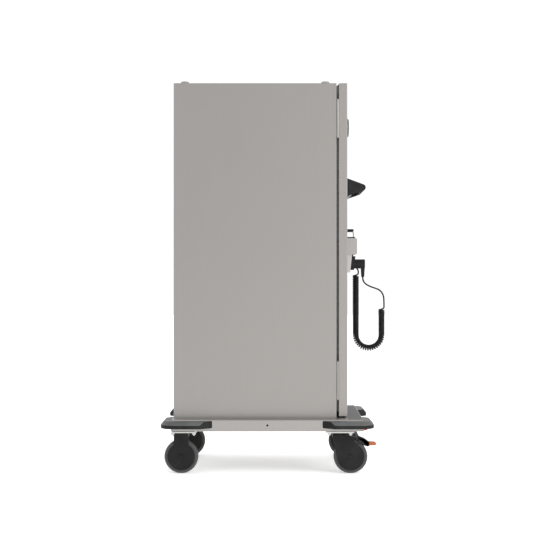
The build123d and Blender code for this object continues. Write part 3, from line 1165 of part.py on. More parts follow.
for end, wheel_y in (("front", FRONT_WHEEL_Y), ("rear", REAR_WHEEL_Y)):
    for side_name, side_sign in SIDES.items():
        save(f"wheel_core_{end}_{side_name}", wheel_core(side_sign * CASTER_X, wheel_y))
        save(f"tyre_{end}_{side_name}", tyre(side_sign * CASTER_X, wheel_y))
for side_name, side_sign in SIDES.items():
    save(f"swivel_fork_{side_name}", swivel_fork(side_sign))
    save(f"front_axle_{side_name}", axle(side_sign * CASTER_X, FRONT_WHEEL_Y))
    save(f"brake_pedal_{side_name}", brake_pedal(side_sign))
    save(f"pedal_tread_{side_name}", pedal_tread(side_sign))
save("fixed_forks", fixed_forks())
save("swivel_plates", swivel_plates())
save("caster_bolts", caster_bolts())
rear_axles = [axle(side_sign * CASTER_X, REAR_WHEEL_Y).solid() for side_sign in SIDES.values()]
save("rear_axles", Compound(children=rear_axles))

save("outer_shell", outer_shell())
save("insulation_panels", insulation_panels())
save("inner_liner", inner_liner())
save("front_frame", front_frame())
save("roof_pads", roof_pads())
for side_name, side_sign in SIDES.items():
    save(f"rack_{side_name}", rack(side_sign))
save("cabinet_hinges", cabinet_hinges())
save("strike_plate", strike_plate())

save("door_outer_panel", door_outer_panel())
save("door_core", door_core())
save("door_inner_panel", door_inner_panel())
save("door_seal", door_seal())
save("door_hinge_leaves", door_hinge_leaves())
save("push_handle", push_handle())
save("release_paddle", release_paddle())
save("latch_case", latch_case())
save("latch_bolt", latch_bolt())
save("thermometer_case", thermometer_case())
save("thermometer_glass", thermometer_glass())
save("thermometer_needle", thermometer_needle())

save("module_housing", module_housing())
save("module_grip", module_grip())
save("control_dial", control_dial())
save("rocker_switch", rocker_switch())
save("module_duct", module_duct())
save("heater_element", heater_element())
save("fan_motor", fan_motor())
save("fan_impeller", fan_impeller())
save("parking_socket", parking_socket())
save("mains_plug", mains_plug())
save("cable_gland", cable_gland())
gland_lead, gland_length = lead(GLAND_ROUTE, "gland lead")
save("gland_lead", gland_lead)
plug_lead, plug_length = lead(PLUG_ROUTE, "plug lead")
save("plug_lead", plug_lead)
curls, curl_length = spiral_cord()
save("spiral_cord", curls)
print("cord length in all", round(gland_length + curl_length + plug_length, 1))
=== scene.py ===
# %% [markdown]
# # A heated cabinet for gastronorm trays, dressed over its CAD model
#
# The CAD model fixes every size and every joint, so the script begins by loading it as a frame.
# Each later cell gives one finish or one piece of the real cabinet. Lengths are in metres, the
# door faces -Y, and the camera looks at the hinge side from -X, as in the photograph.

# %% Load the frame
import json
import math

import bmesh
import bpy
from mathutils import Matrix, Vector

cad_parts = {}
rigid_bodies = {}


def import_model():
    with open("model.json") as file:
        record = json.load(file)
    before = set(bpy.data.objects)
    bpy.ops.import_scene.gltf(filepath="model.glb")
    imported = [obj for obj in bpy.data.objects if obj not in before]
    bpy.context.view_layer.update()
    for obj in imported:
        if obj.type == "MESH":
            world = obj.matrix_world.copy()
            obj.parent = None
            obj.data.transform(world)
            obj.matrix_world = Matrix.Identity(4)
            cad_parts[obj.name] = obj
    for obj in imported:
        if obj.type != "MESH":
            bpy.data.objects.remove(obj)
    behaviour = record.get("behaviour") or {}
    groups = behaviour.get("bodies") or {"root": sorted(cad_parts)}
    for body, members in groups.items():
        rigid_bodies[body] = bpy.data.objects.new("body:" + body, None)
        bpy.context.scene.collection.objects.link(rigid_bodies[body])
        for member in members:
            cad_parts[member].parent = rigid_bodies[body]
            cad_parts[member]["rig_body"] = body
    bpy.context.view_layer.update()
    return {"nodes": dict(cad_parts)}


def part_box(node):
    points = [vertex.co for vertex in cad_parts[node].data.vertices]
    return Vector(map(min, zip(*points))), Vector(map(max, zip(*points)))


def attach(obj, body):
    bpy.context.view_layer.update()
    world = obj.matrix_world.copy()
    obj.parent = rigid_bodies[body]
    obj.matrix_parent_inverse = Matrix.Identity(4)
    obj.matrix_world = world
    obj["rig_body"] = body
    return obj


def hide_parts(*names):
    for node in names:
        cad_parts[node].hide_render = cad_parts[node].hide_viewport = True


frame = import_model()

# %% [markdown]
# ## Shader maths as Python
#
# A material is a graph of nodes. Written one node and one link at a time, a simple formula takes a
# screen of code. A small class that holds a socket and overloads the operators lets the formula be
# read as one, and a second class adds any other node in one call: its settings first, because they
# decide which sockets it has, and then the values or links of those sockets.


# %% A socket that adds up
class Field:
    """The output of a node, used as a number that varies over the surface."""

    def __init__(self, finish, socket):
        self.finish = finish
        self.socket = socket

    def maths(self, operation, first, second):
        return self.finish.node("ShaderNodeMath", {"operation": operation}, {0: first, 1: second})

    def __add__(self, other):
        return self.maths("ADD", self, other)

    def __radd__(self, other):
        return self.maths("ADD", other, self)

    def __sub__(self, other):
        return self.maths("SUBTRACT", self, other)

    def __rsub__(self, other):
        return self.maths("SUBTRACT", other, self)

    def __mul__(self, other):
        return self.maths("MULTIPLY", self, other)

    def __rmul__(self, other):
        return self.maths("MULTIPLY", other, self)


# %% A material with one method for its nodes
class Finish:
    """A material, the nodes that vary over it, and the shader's own uniform numbers."""

    def __init__(self, name, **uniform):
        self.material = bpy.data.materials.new(name)
        self.material.use_nodes = True
        self.tree = self.material.node_tree
        self.shader = self.tree.nodes["Principled BSDF"]
        for socket, value in uniform.items():
            self.feed(self.shader.inputs[socket.replace("_", " ")], value)

    def feed(self, socket, value):
        """Links a field to a socket, or sets the socket's own value."""
        if isinstance(value, Field):
            self.tree.links.new(value.socket, socket)
        else:
            socket.default_value = value

    def node(self, kind, settings=None, sockets=None, output=0):
        """Adds a node and returns one of its outputs as a field."""
        made = self.tree.nodes.new(kind)
        for key, value in (settings or {}).items():
            setattr(made, key, value)
        for key, value in (sockets or {}).items():
            self.feed(made.inputs[key], value)
        return Field(self, made.outputs[output])

    def place(self, stretch=(1, 1, 1)):
        """The point on the object in metres, scaled by axis to stretch a pattern."""
        point = self.node("ShaderNodeTexCoord", output="Object")
        return self.node("ShaderNodeMapping", None, {"Vector": point, "Scale": stretch})

    def noise(self, scale, detail=3.0, stretch=(1, 1, 1), rough=0.55):
        """Cloudy noise from 0 to 1."""
        return self.node("ShaderNodeTexNoise", None, {"Vector": self.place(stretch), "Scale": scale,
                                                      "Detail": detail, "Roughness": rough})

    def band(self, value, low, high):
        """0 below one value, 1 above another, and smooth between them."""
        return self.node("ShaderNodeMapRange", {"interpolation_type": "SMOOTHSTEP"},
                         {"Value": value, "From Min": low, "From Max": high})

    def blend(self, share, first, second):
        """Mixes two colours."""
        return self.node("ShaderNodeMix", {"data_type": "RGBA"},
                         {0: share, 6: first, 7: second}, output=2)

    def bump(self, height, depth, strength=1.0):
        """Turns a height field of so many metres into a normal."""
        self.feed(self.shader.inputs["Normal"], self.node(
            "ShaderNodeBump", None, {"Height": height, "Distance": depth, "Strength": strength}))

    def drive(self, **fields):
        """Feeds the shader's varying sockets."""
        for socket, value in fields.items():
            self.feed(self.shader.inputs[socket.replace("_", " ")], value)
        return self.material


def paint(red, green, blue):
    """A colour as a paint shop gives it, 0 to 255, turned into the linear numbers of a shader."""
    def linear(byte):
        share = byte / 255
        return share / 12.92 if share <= 0.04045 else ((share + 0.055) / 1.055) ** 2.4
    return (linear(red), linear(green), linear(blue), 1.0)


print("a mid grey of 128 as linear light", round(paint(128, 128, 128)[0], 3))

# %% [markdown]
# ## Brushed stainless steel
#
# Most of the cabinet is satin stainless sheet. A belt leaves fine scratches in one direction, so
# the shine is soft along them and the sheet looks evenly grey. A picture of scratches would need
# an image file; here noise that is stretched hard along the grain gives them, and a second, slow
# noise gives the faint clouds that handling and wiping leave. The scratches drive the roughness,
# the bump and a very small change of colour.


# %% Steel sheets by grain direction
GRAIN = 420.0


def steel_sheet(name, grain, colour, roughness=0.36, contrast=0.88):
    """Satin sheet whose scratches run along one axis."""
    finish = Finish(name, Metallic=1.0)
    along = tuple(0.012 if axis == grain else 1.0 for axis in "XYZ")
    scratch = finish.noise(GRAIN, 4.0, along, 0.7)
    clouds = finish.noise(1.6, 2.0)
    darker = tuple(c * contrast for c in colour[:3]) + (1.0,)
    finish.bump(scratch, 0.00002, 0.3)
    return finish.drive(Base_Color=finish.blend(scratch * 0.7 + clouds * 0.3, darker, colour),
                        Roughness=roughness - 0.05 + scratch * 0.08 + clouds * 0.04)


STEEL = paint(153, 150, 147)
steel_upright = steel_sheet("steel_upright_grain", "Z", STEEL)
steel_lengthwise = steel_sheet("steel_lengthwise_grain", "Y", paint(160, 157, 154))
steel_across = steel_sheet("steel_cross_grain", "X", STEEL)
steel_module = steel_sheet("steel_module_grain", "Z", paint(160, 157, 155), 0.26, 0.94)
# Painted highlight: a lighter copy of the steel for the slanted bracket.
steel_bracket_painted_highlight = steel_sheet("steel_bracket_painted_highlight_grain", "Z", paint(180, 178, 175), 0.24)
steel_hinge = steel_sheet("steel_hinge_grain", "Z", paint(152, 150, 146), 0.42)
print("steel finishes", [m.name for m in bpy.data.materials if m.name.startswith("steel")])

# %% [markdown]
# ## The step with a painted reflection
#
# The tray's top is bright beside the cabinet, and the step in front of the door is painted dark
# and mottled: a painted reflection of the dark surroundings that the flat steel mirrors at a
# grazing angle. One finish serves the whole face: the place along Y, read from the object's own
# coordinates, says where the painted reflection begins.

# %% Tray top with a painted reflection on the step
REFLECTION_STARTS, REFLECTION_ENDS = -0.296, -0.288
tray_reflection_finish = Finish("steel_tray_top", Specular_IOR_Level=0.12)
along_y = tray_reflection_finish.node("ShaderNodeSeparateXYZ", None, {0: tray_reflection_finish.place()}, output=1)
outside_reflection = tray_reflection_finish.band(along_y, REFLECTION_STARTS, REFLECTION_ENDS)
reflection_mottle = tray_reflection_finish.noise(60.0, 4.0, (1, 0.2, 1))
# Painted reflection: the step's dark, mottled colour and its low metallic stand in for what the flat
# steel mirrors.
painted_reflection = tray_reflection_finish.blend(reflection_mottle, paint(66, 64, 65), paint(78, 75, 76))
steel_tray = tray_reflection_finish.drive(Base_Color=tray_reflection_finish.blend(outside_reflection, painted_reflection, paint(176, 173, 170)),
                               Metallic=outside_reflection * 0.95 + 0.05,
                               Roughness=0.42 - outside_reflection * 0.1 + reflection_mottle * 0.06)
print("the dull step ends", -REFLECTION_ENDS, "m in front of the middle")

# %% [markdown]
# ## Plated steel, moulded plastic and rubber
#
# Small fittings are zinc plated: brighter, bluer and a little cloudy. Moulded plastic has a fine
# even grain from the spark-eroded mould, which a bump gives, and rubber is the same idea with a
# coarser grain and no shine. One function each keeps the family alike while colour, grain and
# roughness change.


# %% Plated, moulded and rubber finishes
def plated(name, colour, roughness=0.3):
    """Zinc or nickel plating with a faint cloud in its shine."""
    finish = Finish(name, Metallic=1.0)
    clouds = finish.noise(90.0, 4.0)
    darker = tuple(c * 0.85 for c in colour[:3]) + (1.0,)
    finish.bump(clouds, 0.00003, 0.2)
    return finish.drive(Base_Color=finish.blend(clouds, darker, colour),
                        Roughness=roughness + clouds * 0.12)


def moulded(name, colour, roughness=0.45, grain=1500.0, depth=0.00004, dust=0.05, gloss=0.3):
    """Plastic or rubber with a mould's grain, and dust that lightens it in clouds."""
    finish = Finish(name, Specular_IOR_Level=gloss)
    pores = finish.noise(grain, 2.0)
    clouds = finish.noise(14.0, 4.0)
    dusty = tuple(c + dust * (0.3 - 0.3 * c) for c in colour[:3]) + (1.0,)
    finish.bump(pores, depth, 0.6)
    return finish.drive(Base_Color=finish.blend(finish.band(clouds, 0.3, 0.8), colour, dusty),
                        Roughness=roughness - 0.04 + clouds * 0.1)


zinc = plated("zinc_plate", paint(196, 195, 192), 0.3)
bright = plated("bright_steel", paint(206, 205, 202), 0.22)
gauge_steel = plated("thermometer_steel", paint(92, 91, 90), 0.34)
heater_metal = plated("heater_sheath", paint(120, 112, 104), 0.42)
black_plastic = moulded("black_plastic", paint(22, 22, 23), gloss=0.18)
# Painted shade: a darker, less glossy black for the handle's underside and the holes in the chassis.
black_painted_shade = moulded("black_painted_shade_underside", paint(12, 12, 12), 0.7, gloss=0.06)
grey_plastic = moulded("grey_plastic", paint(104, 105, 106), 0.5)
core_plastic = moulded("wheel_core_plastic", paint(22, 22, 23), 0.5, gloss=0.12)
orange_plastic = moulded("orange_plastic", paint(166, 88, 46), 0.42)
tread_rubber = moulded("tread_rubber", paint(71, 71, 70), 0.72, 700.0, 0.00008)
bumper_rubber = moulded("bumper_rubber", paint(22, 23, 23), 0.5, 900.0, 0.00006, gloss=0.14)
# Painted highlight: a lighter, glossier grey for the bumpers' upper faces, where light falls from
# above.
bumper_painted_highlight = moulded("bumper_painted_highlight", paint(70, 71, 71), 0.45, 900.0, 0.00006, 0.12, gloss=0.45)
seal_rubber = moulded("seal_rubber", paint(146, 146, 143), 0.7, 900.0, gloss=0.15)
cord_rubber = moulded("cord_rubber", paint(22, 22, 21), 0.5, 1200.0, dust=0.02, gloss=0.2)
foam = moulded("insulation_foam", paint(214, 200, 150), 0.9, 260.0, 0.0004)
red_paint = moulded("needle_red", paint(190, 36, 30), 0.4)
dial_white = moulded("dial_white", paint(236, 236, 232), 0.5)
print_black = moulded("printed_black", paint(26, 26, 26), 0.5)
plug_plastic = moulded("plug_plastic", paint(15, 15, 15), 0.42, 1200.0, gloss=0.18)
fork_black = moulded("black_stove_enamel", paint(17, 17, 17), 0.42, 500.0, 0.00003, 0.03, gloss=0.18)
print("materials so far", len(bpy.data.materials))

# %% [markdown]
# ## Clear glass
#
# The thermometer has a flat glass. Full transmission makes a render slow and the exported model
# unsure, so a thin pane is made with alpha instead: mostly see-through, with its own gloss.

# %% Thermometer glass
clear = Finish("clear_glass", Roughness=0.06, IOR=1.5)
smudge = clear.noise(40.0, 3.0)
glass = clear.drive(Base_Color=clear.blend(smudge, (0.9, 0.93, 0.94, 1), (1, 1, 1, 1)),
                    Alpha=smudge * 0.05 + 0.1)
print("finishes in all", len(bpy.data.materials))

# %% [markdown]
# ## Dressing a CAD piece
#
# The CAD mesh has knife-sharp edges, and nothing real has: sheet is folded to a radius, castings
# and mouldings are rounded so that they leave the mould. A thin rounded edge catches the light,
# and the eye reads it as a real thing. The helper copies a node's mesh, welds it, dissolves the
# triangles of its flat faces, rounds the edges with a bevel and lets the copy replace the node.
# The bevel only cuts inwards, so no size changes, and weighted normals keep the wide faces beside
# it flat, or a large door would shine in streaks. A rule picks the faces that take another finish,
# such as sheet that lies flat, whose grain runs another way.


def stand_for(piece, *nodes):
    """Shows the piece in place of these CAD nodes, on their body."""
    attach(piece, frame["nodes"][nodes[0]]["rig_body"])
    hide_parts(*nodes)
    return piece


def show(name, mesh, *materials):
    """Puts a mesh in the scene with its finishes, and keeps what each face was given."""
    given = [face.material_index for face in mesh.polygons]
    mesh.materials.clear()
    for material in materials:
        mesh.materials.append(material)
    mesh.polygons.foreach_set("material_index", given)
    piece = bpy.data.objects.new(name, mesh)
    bpy.context.scene.collection.objects.link(piece)
    return piece


# %% Soft edges
SHARP = math.radians(32)


def smooth(mesh):
    """Smooth shading with the real edges kept crisp."""
    mesh.shade_smooth()
    mesh.set_sharp_from_angle(angle=SHARP)


def round_edges(piece, width, segments=2):
    """Rounds every sharp edge, and keeps the wide faces beside it flat."""
    bevel = piece.modifiers.new("edge", "BEVEL")
    bevel.width = width
    bevel.segments = segments
    bevel.limit_method = "ANGLE"
    bevel.angle_limit = SHARP
    even = piece.modifiers.new("even", "WEIGHTED_NORMAL")
    even.keep_sharp = True
    even.weight = 100


# %% Rules for faces, and the dressing helper
WELD, FLAT = 0.000002, math.radians(0.8)


def lies_flat(face):
    """Whether a face looks straight up or down."""
    return abs(face.normal.z) > 0.9


def looks_down(face):
    """Whether a face is on the underside."""
    return face.normal.z < -0.2


def dress(node, material, edge=0.0006, segments=2, others=(), reshape=None):
    """A welded copy of a CAD node with rounded edges, which replaces it."""
    mesh = frame["nodes"][node].data.copy()
    shape = bmesh.new()
    shape.from_mesh(mesh)
    bmesh.ops.remove_doubles(shape, verts=shape.verts, dist=WELD)
    bmesh.ops.dissolve_limit(shape, angle_limit=FLAT, verts=shape.verts, edges=shape.edges)
    shape.normal_update()
    for face in shape.faces:
        picked = [i for i, (_, rule) in enumerate(others, 1) if rule(face)]
        face.material_index = picked[-1] if picked else 0
    for vert in shape.verts if reshape else ():
        vert.co = reshape(vert.co)
    shape.to_mesh(mesh)
    shape.free()
    smooth(mesh)
    piece = show(node + "_piece", mesh, material, *(finish for finish, _ in others))
    if edge:
        round_edges(piece, edge, segments)
    return stand_for(piece, node)


# %% [markdown]
# ## Turned and bent pieces
#
# Much of a cabinet's fittings is turned, extruded or bent from bar. Each way has a helper that
# takes what a workshop drawing gives: the half section of a turned piece, the outline of a plate
# or the route of a bent bar. A rounded corner in the drawing is an arc of short steps.

# %% Turned pieces and plates
def fillet_profile(points, radius, steps=5):
    """A profile whose inner corners are rounded with an arc of this radius."""
    rounded = [points[0]]
    for before, here, after in zip(points, points[1:], points[2:]):
        corner = Vector(here)
        back, on = Vector(before) - corner, Vector(after) - corner
        half = back.angle(on) / 2
        reach = min(radius / math.tan(half), back.length * 0.49, on.length * 0.49)
        start, end = corner + back.normalized() * reach, corner + on.normalized() * reach
        for step in range(steps + 1):
            share = step / steps
            rounded.append(tuple(start.lerp(corner, share).lerp(corner.lerp(end, share), share)))
    return rounded + [points[-1]]


AXES = {"X": ((0, 1, 0), (0, 0, 1), (1, 0, 0)), "Y": ((1, 0, 0), (0, 0, 1), (0, -1, 0)),
        "Z": ((1, 0, 0), (0, 1, 0), (0, 0, 1))}


def lathe(name, profile, centre, axis, material, steps=64):
    """Turns a (radius, height) profile about an axis. Heights on Y count towards the front."""
    side, other, along = (Vector(v) for v in AXES[axis])
    shape = bmesh.new()
    rings = []
    for step in range(steps):
        angle = 2 * math.pi * step / steps
        spoke = side * math.cos(angle) + other * math.sin(angle)
        rings.append([shape.verts.new(Vector(centre) + spoke * r + along * h) for r, h in profile])
    for ring, following in zip(rings, rings[1:] + rings[:1]):
        for i in range(len(profile) - 1):
            shape.faces.new((ring[i], following[i], following[i + 1], ring[i + 1]))
    bmesh.ops.remove_doubles(shape, verts=shape.verts, dist=0.0000005)
    bmesh.ops.recalc_face_normals(shape, faces=shape.faces)
    mesh = bpy.data.meshes.new(name)
    shape.to_mesh(mesh)
    shape.free()
    smooth(mesh)
    return show(name, mesh, material)


def prism(name, outline, start, end, material):
    """Pushes a (y, z) outline along X."""
    shape = bmesh.new()
    sides = [[shape.verts.new((x, y, z)) for y, z in outline] for x in (start, end)]
    for i in range(len(outline)):
        j = (i + 1) % len(outline)
        shape.faces.new((sides[0][i], sides[0][j], sides[1][j], sides[1][i]))
    shape.faces.new(sides[0])
    shape.faces.new(sides[1])
    bmesh.ops.recalc_face_normals(shape, faces=shape.faces)
    mesh = bpy.data.meshes.new(name)
    shape.to_mesh(mesh)
    shape.free()
    smooth(mesh)
    return show(name, mesh, material)


def strap(name, route, thickness, start, end, material):
    """Flat bar bent along a (y, z) route, as wide as from start to end along X."""
    above, below = [], []
    for i, here in enumerate(route):
        heading = Vector(route[min(i + 1, len(route) - 1)]) - Vector(route[max(i - 1, 0)])
        across = Vector((-heading.y, heading.x)).normalized() * thickness / 2
        above.append(tuple(Vector(here) + across))
        below.append(tuple(Vector(here) - across))
    return prism(name, above + below[::-1], start, end, material)


# %% Screws and lettering
SCREW_RADIUS = 0.0035
SCREW_HEAD = [(0, 0.35), (0.45, 0.35), (0.45, 0.6), (0.8, 0.5), (1, 0.15), (1, 0)]


def screw(name, centre, axis, body):
    """A low domed head with a recess, facing along the axis."""
    head = [(r * SCREW_RADIUS, h * SCREW_RADIUS) for r, h in SCREW_HEAD]
    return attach(lathe(name, head, centre, axis, zinc, 18), body)


def lettering(name, text, size, centre, material, body):
    """Plain numbers or signs that face the front, printed a hair above the surface."""
    letters = bpy.data.curves.new(name, "FONT")
    letters.body = text
    letters.size = size
    letters.align_x = "CENTER"
    letters.align_y = "CENTER"
    letters.extrude = 0.00005
    printed = bpy.data.objects.new(name, letters)
    printed.location = centre
    printed.rotation_euler = (math.radians(90), 0, 0)
    letters.materials.append(material)
    bpy.context.scene.collection.objects.link(printed)
    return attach(printed, body)


# %% [markdown]
# ## The cabinet
#
# The outer shell is one folded sheet round an insulated box. Its sides are brushed upright and its
# roof lengthwise, and a fold has a radius of about its own thickness. The frame round the opening
# joins the two skins, and the inner tank and the racks are the same steel.

# %% Dress the cabinet
FOLD = 0.0009
dress("outer_shell", steel_upright, FOLD, 3, others=[(steel_lengthwise, lies_flat)])
dress("front_frame", steel_upright, 0.0003, 2, others=[(steel_across, lies_flat)])
dress("inner_liner", steel_upright, FOLD, 2, others=[(steel_lengthwise, lies_flat)])
for side in ("left", "right"):
    dress(f"rack_{side}", steel_lengthwise, 0.0004, 2)
dress("roof_pads", steel_lengthwise, 0.002, 4)
dress("strike_plate", zinc, 0.0005)
dress("insulation_panels", foam, 0)
print("fold radius", FOLD, "m")

# %% [markdown]
# ## The door
#
# The door is a pan of the same sheet, filled with foam and closed by a flat sheet on the cabinet's
# side. The rubber frame closes the gap, and the two long barrel hinges show in it as lighter
# stretches.

# %% Dress the door and its hinges
dress("door_outer_panel", steel_upright, FOLD, 3, others=[(steel_across, lies_flat)])
dress("door_inner_panel", steel_upright, 0.0003)
dress("door_core", foam, 0)
dress("door_seal", seal_rubber, 0.0015, 3)
dress("cabinet_hinges", steel_hinge, 0.0004)
dress("door_hinge_leaves", steel_hinge, 0.0004)

# %% [markdown]
# ## Handle and latch
#
# The push handle is a black moulding, wedge shaped so that a hip can push it, hollow beneath for
# the fingers. The grey paddle in the hollow draws the latch bolt back. A moulding of this size has
# edges of about two millimetres. Its underside is painted a darker, less glossy black: painted
# shade under the handle.

# %% Dress the handle and the latch
# Painted shade: the faces that look down take a darker, less glossy black than the handle.
dress("push_handle", black_plastic, 0.0022, 4, others=[(black_painted_shade, looks_down)])
dress("release_paddle", grey_plastic, 0.0012, 3)
dress("latch_case", zinc, 0.0003)
dress("latch_bolt", bright, 0.0005)

# %% [markdown]
# ## Dial thermometer
#
# A round steel case stands on the door, with a domed bezel, a white dial and a red needle. A
# turned profile is the plain way to make it: the bezel is one arc. The dial gets ticks and plain
# numbers, because a dial without them would look unfinished.

# %% Turn the case and draw the dial
door_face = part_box("door_outer_panel")[0].y
glass_low, glass_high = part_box("thermometer_glass")
gauge = Vector((0, door_face, (glass_low.z + glass_high.z) / 2))
CASE_RADIUS, LIP, BEZEL_ARC, DIAL_SUNK = 0.038, 0.004, 0.006, 0.005
case_height = door_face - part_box("thermometer_case")[0].y
dial_radius = (glass_high.x - glass_low.x) / 2
dial_depth = case_height - DIAL_SUNK
bezel = fillet_profile([(CASE_RADIUS, 0), (CASE_RADIUS, case_height * 0.62),
                        (dial_radius + LIP, case_height), (dial_radius, case_height - 0.0006),
                        (dial_radius, dial_depth)], BEZEL_ARC, 6)
stand_for(lathe("thermometer_bezel", bezel, gauge, "Y", gauge_steel, 96), "thermometer_case")
face = [(0, dial_depth), (dial_radius, dial_depth)]
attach(lathe("thermometer_dial", face, gauge, "Y", dial_white, 96), "door")
print("dial radius", round(dial_radius, 4))

# %% Ticks and numbers
SWEEP, START, TICKS = 270, 225, 27
print_y = gauge.y - dial_depth - 0.0001
shape = bmesh.new()
for step in range(TICKS + 1):
    angle = math.radians(START - step * SWEEP / TICKS)
    width, inner = (0.0005, 0.78) if step % 9 == 0 else (0.0002, 0.86)
    for across, reach in ((-1, 0.93), (1, 0.93), (1, inner), (-1, inner)):
        shape.verts.new((
            gauge.x + dial_radius * reach * math.cos(angle) - across * width * math.sin(angle),
            print_y,
            gauge.z + dial_radius * reach * math.sin(angle) + across * width * math.cos(angle)))
shape.verts.ensure_lookup_table()
for i in range(0, len(shape.verts), 4):
    shape.faces.new(shape.verts[i:i + 4])
tick_mesh = bpy.data.meshes.new("thermometer_ticks")
shape.to_mesh(tick_mesh)
shape.free()
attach(show("thermometer_ticks", tick_mesh, print_black), "door")
for i, number in enumerate(("0", "40", "80", "120")):
    angle = math.radians(START - i * SWEEP / 3)
    reach = dial_radius * 0.62
    centre = (gauge.x + reach * math.cos(angle), print_y, gauge.z + reach * math.sin(angle))
    lettering(f"thermometer_number_{number}", number, 0.007, centre, print_black, "door")
dress("thermometer_needle", red_paint, 0.0001, 1)
dress("thermometer_glass", glass, 0.0004, 2)
print("ticks", TICKS + 1)

# %% [markdown]
# ## Heating module
#
# The module is a folded steel box on a flange, with a slanted bracket below it whose steel is
# painted lighter: a painted highlight for the light its slanted face catches. The same upright
# grain runs over box and door. The duct behind it goes through the door, with the heater loop
# and the fan inside.

# %% Dress the module
housing_low, housing_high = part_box("module_housing")
module_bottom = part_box("cable_gland")[1].z


def in_bracket(face):
    """Whether a face of the housing is part of the bracket below the box."""
    middle = face.calc_center_median()
    return middle.z < module_bottom - 0.0005 and middle.y < housing_high.y - 0.0025


# Painted highlight: the bracket's faces take the lighter copy of the module's steel.
dress("module_housing", steel_module, 0.0006, 3,
      others=[(steel_across, lies_flat), (steel_bracket_painted_highlight, in_bracket)])
dress("module_duct", steel_upright, 0.0004)
dress("heater_element", heater_metal, 0.0025, 4)
dress("fan_motor", zinc, 0.0006)
dress("fan_impeller", zinc, 0.0003)
print("flange from", [round(c, 4) for c in housing_low], "to", [round(c, 4) for c in housing_high])

# %% Screws in the corners of the flange
INSET, FLANGE = 0.008, 0.002
for i, (x, z) in enumerate(((housing_low.x, housing_low.z), (housing_low.x, housing_high.z),
                            (housing_high.x, housing_low.z), (housing_high.x, housing_high.z))):
    screw_z = z + INSET if z == housing_low.z else z - INSET
    centre = (x - math.copysign(INSET, x), housing_high.y - FLANGE, screw_z)
    screw(f"flange_screw_{i + 1}", centre, "Y", "heating_module")
print("screw heads of", 2 * SCREW_RADIUS, "m")

# %% [markdown]
# ## The bow grip
#
# A strap of bright steel is bent to a bow, and a black sleeve sits on its level leg, where the
# fingers pull. Bending is what the strap helper does: it offsets a rounded route to both sides. A
# black pad of painted shade lies where the bow stands on the box, standing in for the dark gap
# under its foot. Sleeve and pad are blocks of the same kind, so one helper makes both.

# %% Bend the strap and slip on the sleeve
grip_low, grip_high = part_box("module_grip")
STRAP, BOW_ARC, SLEEVE_HEIGHT = 0.0034, 0.012, 0.01
leg_z = grip_high.z - SLEEVE_HEIGHT / 2
bow = fillet_profile([(grip_high.y, leg_z), (grip_low.y + 0.004, leg_z),
                      (grip_low.y + STRAP / 2, grip_low.z)], BOW_ARC, 8)
grip = strap("module_grip_piece", bow, STRAP, grip_low.x, grip_high.x, bright)
round_edges(grip, 0.0006, 3)
stand_for(grip, "module_grip")


def grip_block(name, front_y, low_z, high_z, spread, edge, segments):
    """A black block from a front face to the door, a little wider than the strap."""
    outline = [(front_y, low_z), (grip_high.y, low_z), (grip_high.y, high_z), (front_y, high_z)]
    block = prism(name, outline, grip_low.x - spread, grip_high.x + spread, black_plastic)
    round_edges(block, edge, segments)
    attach(block, "heating_module")


grip_block("grip_sleeve", grip_low.y + 0.0045, grip_high.z - SLEEVE_HEIGHT, grip_high.z,
           0.0004, 0.0026, 5)
# Painted shade: a black pad stands in for the dark gap where the bow meets the box.
grip_block("grip_painted_shade_pad", grip_low.y - 0.0006, grip_low.z - 0.0004, grip_low.z + 0.0062, 0.001, 0.0012, 3)
print("grip stands", round(grip_high.z - grip_low.z, 4), "m high")

# %% [markdown]
# ## Dial and switch
#
# The dial sits in a round recess and the rocker is flush beside it. Plain numbers stand round the
# dial, and the plain words for on and off above and below the rocker.

# %% Dress the dial and the switch, and print the numbers
dress("control_dial", black_plastic, 0.0008, 3)
dress("rocker_switch", black_plastic, 0.0008, 3)
front = housing_low.y - 0.00002
NUMBER_RING, LABEL_GAP = 0.0238, 0.0045
dial_low, dial_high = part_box("control_dial")
middle = (dial_low + dial_high) / 2
for number, turned in (("0", 0), ("30", 67.5), ("50", 135), ("70", 202.5), ("90", 270)):
    angle = math.radians(90 - turned)
    centre = (middle.x + NUMBER_RING * math.cos(angle), front, middle.z + NUMBER_RING * math.sin(angle))
    lettering(f"dial_number_{number}", number, 0.0038, centre, print_black, "heating_module")
rocker_low, rocker_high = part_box("rocker_switch")
rocker_x = (rocker_low.x + rocker_high.x) / 2
for name, word, z in (("switch_on", "ON", rocker_high.z + LABEL_GAP),
                      ("switch_off", "OFF", rocker_low.z - LABEL_GAP)):
    lettering(name, word, 0.004, (rocker_x, front, z), print_black, "heating_module")
print("dial at", round(middle.x, 4), "rocker at", round(rocker_x, 4))

# %% [markdown]
# ## Socket, plug and gland
#
# The plug is parked in a black socket on the slanted bracket. Both are mouldings. The gland is a
# hexagon nut round a ribbed rubber sleeve, which keeps the cord from kinking where it leaves, as
# the tapered neck does on the plug. Six steps of the lathe give the hexagon.

# %% Dress the plug and the socket
dress("parking_socket", black_plastic, 0.001, 3)
plug = dress("mains_plug", plug_plastic, 0.0012, 3)

